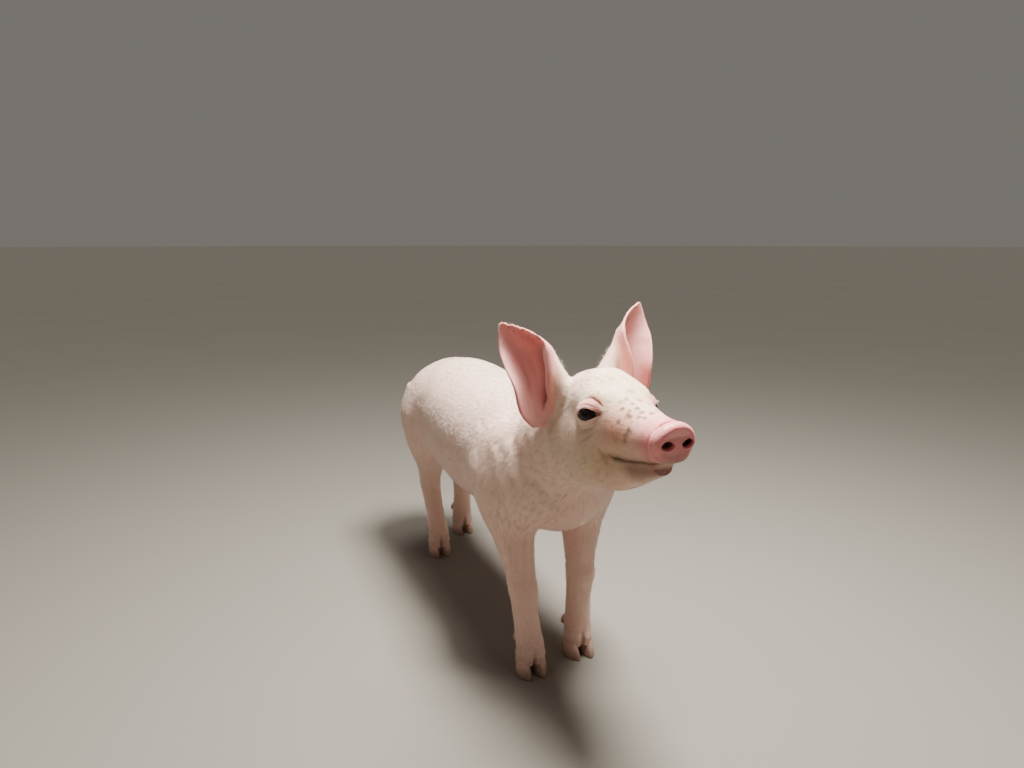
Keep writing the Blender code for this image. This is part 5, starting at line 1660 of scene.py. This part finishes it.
# --- What a user may change ---
class PigSkinSettings(bpy.types.PropertyGroup):
    """Sizes of the skin's mesh."""
    grain: FloatProperty(name="Grain", description="Edge of the cells that the skin is first drawn in",
                         default=1.25 * MM, min=0.8 * MM, max=3 * MM, unit="LENGTH", precision=5)
    kept: FloatProperty(name="Kept", description="Share of the first triangles that is kept where skin is flat",
                        default=0.16, min=0.05, max=1, subtype="FACTOR")
    splits: IntProperty(name="Splits", description="Passes that split edges round eyes, snout and mouth",
                        default=4, min=0, max=6)


class PigCoatSettings(bpy.types.PropertyGroup):
    """The coat."""
    hairs: IntProperty(name="Hairs", description="Number of hairs on the whole animal",
                       default=118000, min=1000, max=140000)
    width: FloatProperty(name="Hair width", description="Width of a hair at its root",
                         default=0.10 * MM, min=0.05 * MM, max=0.5 * MM, unit="LENGTH", precision=5)
    colour: FloatVectorProperty(name="Hair colour", description="Colour of the hair away from any marking",
                                default=(0.93, 0.86, 0.78), min=0, max=1, subtype="COLOR")
    seed: IntProperty(name="Seed", description="Start of the random draws that place the hairs", default=41)


class PigEyeSettings(bpy.types.PropertyGroup):
    """The eyes."""
    bulge: FloatProperty(name="Cornea", description="How far the cornea stands out of the eyeball",
                         default=0.55 * MM, min=0, max=1.5 * MM, unit="LENGTH", precision=5)
    iris: FloatVectorProperty(name="Iris", description="Colour of the iris",
                              default=(0.009, 0.0055, 0.0042), min=0, max=1, subtype="COLOR")
    lashes: IntProperty(name="Lashes", description="Lashes on each upper lid", default=46, min=0, max=120)


class PigStageSettings(bpy.types.PropertyGroup):
    """Floor, light and camera."""
    floor: FloatVectorProperty(name="Floor", description="Colour of the floor",
                               default=(0.215, 0.197, 0.168), min=0, max=1, subtype="COLOR")
    sky: FloatProperty(name="Sky", description="Strength of the pale light from all round",
                       default=0.185, min=0, max=5)
    sun: FloatProperty(name="Sun", description="Strength of the wide light from above", default=1.6, min=0)
    box: FloatProperty(name="Soft box", description="Power of the soft box over the animal",
                       default=38.0, min=0, max=500, unit="POWER")
    key: FloatProperty(name="Front light", description="Power of each of the two lamps in front",
                       default=0.5, min=0, max=500, unit="POWER")


# --- One operator for each piece or group of like pieces ---
NET_BOX = ((-0.115, -0.335, -0.008), (0.115, 0.325, 0.392))     # the box in which the skin is drawn
QUICK_GRAIN, QUICK_KEPT = 2.0 * MM, 0.30
CAMERA_AT = vec(-0.3095, -0.765, 0.43)
CAMERA_TURN = (radians(79.2), 0, radians(-22))
CAMERA_LENS, CAMERA_SENSOR = 27.04, 36
SKY_COLOUR = (1.0, 0.93, 0.84, 1)
SUN_WAY, SUN_ANGLE, SUN_COLOUR = (-0.08, 0.04, -1.0), radians(22), (1.0, 0.96, 0.89)
FLOOR_RINGS = (0.4, 1.5, 6, 40)                                 # radii of the floor's rings


def facing(way):
    """Turn that points a lamp's beam along a way."""
    return Vector(way).to_track_quat("-Z", "Y").to_euler()


def hung(name, data, at, turn):
    """A lamp or a camera in the scene, at its place and turn."""
    holder = bpy.data.objects.new(name, data)
    holder.location, holder.rotation_euler = at, turn
    bpy.context.scene.collection.objects.link(holder)
    return holder


def settle(piece, slot, *nodes):
    """Every piece rides on the one body, takes its finish from a slot and may stand for solids."""
    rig.ride(piece, "root")
    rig.slot(piece, slot)
    if nodes:
        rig.replaces(piece, *nodes)


class PIG_OT_skin(bpy.types.Operator):
    """Draws the whole skin as one closed surface in place of the solids of flesh"""
    bl_idname = "pig.skin"
    bl_label = "Skin"

    def execute(self, context):
        look = context.scene.pig_skin
        grain, kept = (QUICK_GRAIN, QUICK_KEPT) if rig.quick() else (look.grain, look.kept)
        points, quads = surface_net(body_distance, *NET_BOX, grain)
        points, triangles = thinned(points, quads, kept)
        points = onto(body_distance, points, 2)
        points = even_out(points, triangles, body_distance, 2)
        for _ in range(look.splits):
            points, triangles = split_long(points, triangles, lambda p: 1.3 * wanted_edge(p), body_distance)
            points = even_out(points, triangles, body_distance, 1, 0.4)
        points = onto(body_distance, points, 2, 0.3 * MM)
        mesh = new_mesh("pig_skin", points + SHIFT, triangles)
        u, _, _ = head_places(points)
        down = 1 - ramp(points[:, 2], 0.10, 0.17)
        _, behind, _ = disc_places(points)
        disc = (1 - ramp(behind, 1 * MM, 9 * MM)) * ramp(points[:, 2], 0.258, 0.268) * (points[:, 1] < -0.28)
        eye = eye_places(points)[3]
        grime = 0.48 * bell(u - 36 * MM, 20 * MM) * ramp(-points[:, 1], 0.2, 0.24) + 0.55 * (
            1 - ramp(points[:, 2], 10 * MM, 75 * MM))
        give_colours(mesh, "tint", markings_and_painted_light(points))
        give_values(mesh, "bare", np.maximum(disc, 0.8 * (1 - ramp(eye, 9 * MM, 14 * MM))))
        give_values(mesh, "down", down)
        give_values(mesh, "flush", np.maximum(ear_cover(points)[0], 0.95 * ramp(-points[:, 1], 0.22, 0.26)))
        give_values(mesh, "grime", grime)
        settle(new_object("pig_skin", mesh, skin_finish()), "skin", *FLESH_NODES)
        return {"FINISHED"}


class PIG_OT_coat(bpy.types.Operator):
    """Grows the coat over the skin in tufts of two hairs, one piece for each region of the body"""
    bl_idname = "pig.coat"
    bl_label = "Coat"

    def execute(self, context):
        look = context.scene.pig_coat
        hairs = look.hairs // 3 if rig.quick() else look.hairs
        roots, draw = scattered_roots(bpy.data.objects["pig_skin"], hairs, look.seed)
        region = region_of(roots)
        tuft_turn = draw.normal(0, 0.075, len(roots))
        wave = 0.07 * sin_wave(roots[:, 1] + 0.7 * roots[:, 2], 0.071) + 0.05 * sin_wave(
            roots[:, 2] - 0.5 * roots[:, 0], 0.053)
        number = np.repeat(np.arange(len(roots)), 2)
        foot = roots[number] + draw.normal(0, 0.35 * MM, (len(number), 3))
        foot = onto(body_distance, foot, 1, 2 * MM)
        _, outward = slope(body_distance, foot)
        along = lie_of_coat(foot)
        along = along - outward * (along * outward).sum(axis=1)[:, None]
        along /= np.linalg.norm(along, axis=1)[:, None] + 1e-9
        across = np.cross(outward, along)
        turn = (tuft_turn + wave)[number] + draw.normal(0, 0.05, len(number))
        along = along * np.cos(turn)[:, None] + across * np.sin(turn)[:, None]
        length = bristle_length(foot) * draw.uniform(0.72, 1.2, len(number))
        rogue = draw.random(len(number)) < 0.05
        u, _, w = head_places(foot)
        muzzle = bell(u - 34 * MM, 20 * MM) * bell(w + 12 * MM, 14 * MM) + 0.6 * bell(
            u - 18 * MM, 22 * MM) * bell(w + 34 * MM, 9 * MM)
        whisker = draw.random(len(number)) < 0.020 * muzzle * (foot[:, 1] < -0.20)
        length = np.where(whisker, draw.uniform(6.5, 12, len(number)) * MM, length)
        rise = np.clip(length * 0.11, 0.25 * MM, 0.85 * MM) * np.where(rogue, 1.8, 1)
        rise = np.where(whisker, 0.42 * length, rise)
        lift = np.where(whisker, 0.5, 0.17)
        width = look.width * draw.uniform(0.8, 1.2, len(number)) * (0.75 + 0.25 * ramp(length, 2 * MM, 7 * MM))
        points, faces = bristles(foot, along, outward, length, width, lift, lift * 0.3, rise)
        tint = markings_and_painted_light(foot)
        shade = draw.uniform(0.9, 1.06, len(number))[:, None]
        cover, _ = ear_cover(foot)
        white = 1 - np.maximum(0.75 * cover, 0.80 * ramp(-foot[:, 1], 0.225, 0.26))[:, None]
        white = white * np.clip((tint.mean(axis=1) - 0.14) / 0.36, 0.12, 1)[:, None]
        white = np.where(whisker[:, None], 1, white)
        root_tint = tint + (np.array(look.colour) - tint) * 0.30 * white
        ahead = markings_and_painted_light(foot + along * (0.7 * length)[:, None])
        white = white * np.clip((ahead.mean(axis=1) - 0.14) / 0.36, 0.12, 1)[:, None]
        tip_tint = ahead + (np.array(look.colour) - ahead) * 0.72 * white
        corner = np.linalg.norm(np.stack(head_places(foot), axis=1) - MOUTH_CORNER, axis=1)
        dark = (bell(corner, 5 * MM) > draw.uniform(0.3, 1.2, len(number)))[:, None]
        tints = np.repeat((root_tint * shade)[:, None], HAIR_POINTS, axis=1)
        tints[:, 3:] = (tip_tint * shade)[:, None]
        tints = np.where(dark[:, None], EARTH_AND_SHADE * 0.7, tints).reshape(-1, 3)
        finish = coat_finish()
        halves = 2 * region + (roots[:, 0] > 0)
        for half in range(2 * len(REGIONS)):
            k, name = half // 2, f"{REGIONS[half // 2]}_{('right', 'left')[half % 2]}"
            mine = np.nonzero(halves[number] == half)[0]
            own = points.reshape(-1, HAIR_POINTS, 3)[mine].reshape(-1, 3)
            own_faces = faces[:HAIR_FACES * len(mine)]
            mesh = new_mesh(f"coat_{name}", own + SHIFT, own_faces)
            give_colours(mesh, "tint", tints.reshape(-1, HAIR_POINTS, 3)[mine].reshape(-1, 3))
            across, high = unwrapped(roots[number[mine]], k)
            place = 0.01 + 0.98 * np.clip(np.stack([across, high], axis=1), 0, 1)
            give_patches(mesh, own_faces, place, np.arange(len(mine)))
            settle(new_object(f"coat_{name}", mesh, finish), "skin")
            if len(own_faces) >= MOST_FACES:
                raise RuntimeError(f"coat_{name} has {len(own_faces)} triangles, which is too many")
        return {"FINISHED"}


class PIG_OT_eyes(bpy.types.Operator):
    """Makes the two eyes and the pale lashes of their upper lids"""
    bl_idname = "pig.eyes"
    bl_label = "Eyes"

    def execute(self, context):
        look = context.scene.pig_eyes
        finish = eye_finish(look)
        for side, where in SIDES:
            points, faces, from_axis = eyeball(side, look.bulge)
            mesh = new_mesh(f"eyeball_{where}", points, faces)
            give_values(mesh, "from_axis", from_axis)
            settle(new_object(f"eyeball_{where}", mesh, finish), "eye", f"eye_{where}")
        draw = np.random.default_rng(7)
        feet, ways, lengths, outs = [], [], [], []
        for side in (-1, 1):
            share = np.linspace(-0.86, 0.80, look.lashes) + draw.normal(0, 0.012, look.lashes)
            t = share * np.where(share > 0, OPENING_FRONT, OPENING_BACK)
            n, _ = lid_edges(t)
            n = n + 0.9 * MM + draw.normal(0, 0.2 * MM, look.lashes)
            out = np.sqrt(np.maximum((EYE_RADIUS + 1.4 * MM) ** 2 - t ** 2 - n ** 2, 1e-6))
            axes = eye_axes(side)
            foot = (EYE_AT * vec(side, 1, 1) + t[:, None] * axes[0] + n[:, None] * axes[1]
                    + out[:, None] * axes[2])
            fan = (t / OPENING_FRONT * 0.55)[:, None] * axes[0]
            way = axes[2] * 0.80 + axes[1] * draw.uniform(-0.25, 0.1, look.lashes)[:, None] + fan
            feet.append(foot)
            ways.append(way)
            outs.append(np.tile(axes[1], (look.lashes, 1)))
            lengths.append(draw.uniform(2.2, 3.6, look.lashes) * MM * (0.75 + 0.25 * bell(share, 0.7)))
        foot, way, up = np.concatenate(feet), np.concatenate(ways), np.concatenate(outs)
        way /= np.linalg.norm(way, axis=1)[:, None]
        up = up - way * (up * way).sum(axis=1)[:, None]
        up /= np.linalg.norm(up, axis=1)[:, None]
        length = np.concatenate(lengths)
        none = np.zeros(len(foot))
        points, faces = bristles(foot, way, up, length, np.full(len(foot), 0.15 * MM), none - 0.22, none + 0.30)
        mesh = new_mesh("lashes", points + SHIFT, faces)
        give_colours(mesh, "tint", np.tile(LASH, (len(points), 1)))
        place = np.stack([np.linspace(0.02, 0.98, len(foot)), np.full(len(foot), 0.5)], axis=1)
        give_patches(mesh, faces, place, np.arange(len(foot)))
        settle(new_object("lashes", mesh, bpy.data.materials["pig_coat"]), "skin")
        return {"FINISHED"}


class PIG_OT_claws(bpy.types.Operator):
    """Makes the eight claws and eight dewclaws in the places of their solids"""
    bl_idname = "pig.claws"
    bl_label = "Claws"

    def execute(self, context):
        finish = claw_finish()
        for leg, (_, fore, toe_x, toe_y) in LEGS.items():
            place = leg.replace("leg_", "_")
            for side, where in SIDES:
                for kind, build in (("claw", claw_surface), ("dewclaw", dewclaw_surface)):
                    node = f"{kind}_{place}_{where}"
                    points, faces, rise, front = build(fore, side, toe_x, toe_y)
                    mesh = new_mesh(f"horn_{node}", points, faces)
                    give_values(mesh, "rise", rise)
                    give_values(mesh, "front", front)
                    settle(new_object(f"horn_{node}", mesh, finish), "claw", node)
        return {"FINISHED"}


class PIG_OT_stage(bpy.types.Operator):
    """Lays the pale floor and sets the studio light and the camera"""
    bl_idname = "pig.stage"
    bl_label = "Stage"

    def execute(self, context):
        look = context.scene.pig_stage
        turn = np.arange(96) * 2 * pi / 96
        rings = [np.stack([r * np.cos(turn), r * np.sin(turn), 0 * turn], axis=1) for r in FLOOR_RINGS]
        points = np.concatenate(rings + [np.zeros((1, 3))])
        faces = closed_grid(len(rings), len(turn))[:-len(turn)]
        m = Maker("studio_floor")
        patchy = m.noise(3.0, 4.0).smooth(0.3, 0.7)
        colour = m.mix(patchy * 0.12, rgba(look.floor), rgba([value * 0.86 for value in look.floor]))
        floor_finish = m.finish(Base_Color=colour, Roughness=0.8 + 0.1 * patchy)
        mesh = new_mesh("floor", points, faces)
        if mesh.polygons[0].normal.z < 0:
            mesh.flip_normals()
        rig.stage(new_object("floor", mesh, floor_finish))
        world = bpy.data.worlds.new("studio")
        world.use_nodes = True
        background = world.node_tree.nodes["Background"].inputs
        background["Color"].default_value, background["Strength"].default_value = SKY_COLOUR, look.sky
        context.scene.world = world
        sun = bpy.data.lights.new("sun", "SUN")
        sun.energy, sun.angle, sun.color = look.sun, SUN_ANGLE, SUN_COLOUR
        hung("sun", sun, (0, 0, 0), facing(SUN_WAY))
        for name, at, aim, size, power, colour in (
                ("above", (0.11, -0.13, 1.03), (0, -0.09, 0.24), 0.28, look.box, (1.0, 0.965, 0.91)),
                ("front", (0.75, -1.25, 0.75), (0, -0.15, 0.18), 0.9, look.key, (1.0, 0.92, 0.80)),
                ("side", (-1.4, -0.6, 1.0), (0, 0, 0.2), 1.2, look.key * 1.1, (1.0, 0.95, 0.90))):
            lamp = bpy.data.lights.new(name, "AREA")
            lamp.size, lamp.energy, lamp.color = size, power, colour
            hung(name, lamp, at, facing(Vector(aim) - Vector(at)))
        camera = bpy.data.cameras.new("camera")
        camera.lens, camera.sensor_width = CAMERA_LENS, CAMERA_SENSOR
        context.scene.camera = hung("camera", camera, CAMERA_AT + SHIFT, CAMERA_TURN)
        return {"FINISHED"}


class PIG_PT_panel(bpy.types.Panel):
    """Lists the pieces and what can be changed"""
    bl_idname = "PIG_PT_panel"
    bl_label = "Young Pig"
    bl_space_type = "VIEW_3D"
    bl_region_type = "UI"
    bl_category = "Young Pig"

    def draw(self, context):
        scene = context.scene
        for operator, group in ((PIG_OT_skin, scene.pig_skin), (PIG_OT_coat, scene.pig_coat),
                                (PIG_OT_eyes, scene.pig_eyes), (PIG_OT_claws, None),
                                (PIG_OT_stage, scene.pig_stage)):
            box = self.layout.box()
            box.operator(operator.bl_idname)
            for name in group.bl_rna.properties.keys() if group else ():
                if name not in ("rna_type", "name"):
                    box.prop(group, name)


CLASSES = (PigSkinSettings, PigCoatSettings, PigEyeSettings, PigStageSettings, PIG_OT_skin, PIG_OT_coat,
           PIG_OT_eyes, PIG_OT_claws, PIG_OT_stage, PIG_PT_panel)
GROUPS = {"pig_skin": PigSkinSettings, "pig_coat": PigCoatSettings, "pig_eyes": PigEyeSettings,
          "pig_stage": PigStageSettings}


def register():
    """Adds the classes, and one group of settings for each to every scene."""
    for kind in CLASSES:
        bpy.utils.register_class(kind)
    for name, kind in GROUPS.items():
        setattr(bpy.types.Scene, name, PointerProperty(type=kind))


def unregister():
    """Takes away what register() added."""
    for name in GROUPS:
        delattr(bpy.types.Scene, name)
    for kind in reversed(CLASSES):
        bpy.utils.unregister_class(kind)


def main():
    register()
    cad_size = [list(corner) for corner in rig.bounds()]
    bpy.ops.pig.skin()
    bpy.ops.pig.coat()
    bpy.ops.pig.eyes()
    bpy.ops.pig.claws()
    bpy.ops.pig.stage()
    bpy.context.view_layer.update()
    with open("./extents.json", "w") as out:
        json.dump({"cad": cad_size, "visual": [list(corner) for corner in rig.bounds()]}, out)


if __name__ == "__main__":
    main()
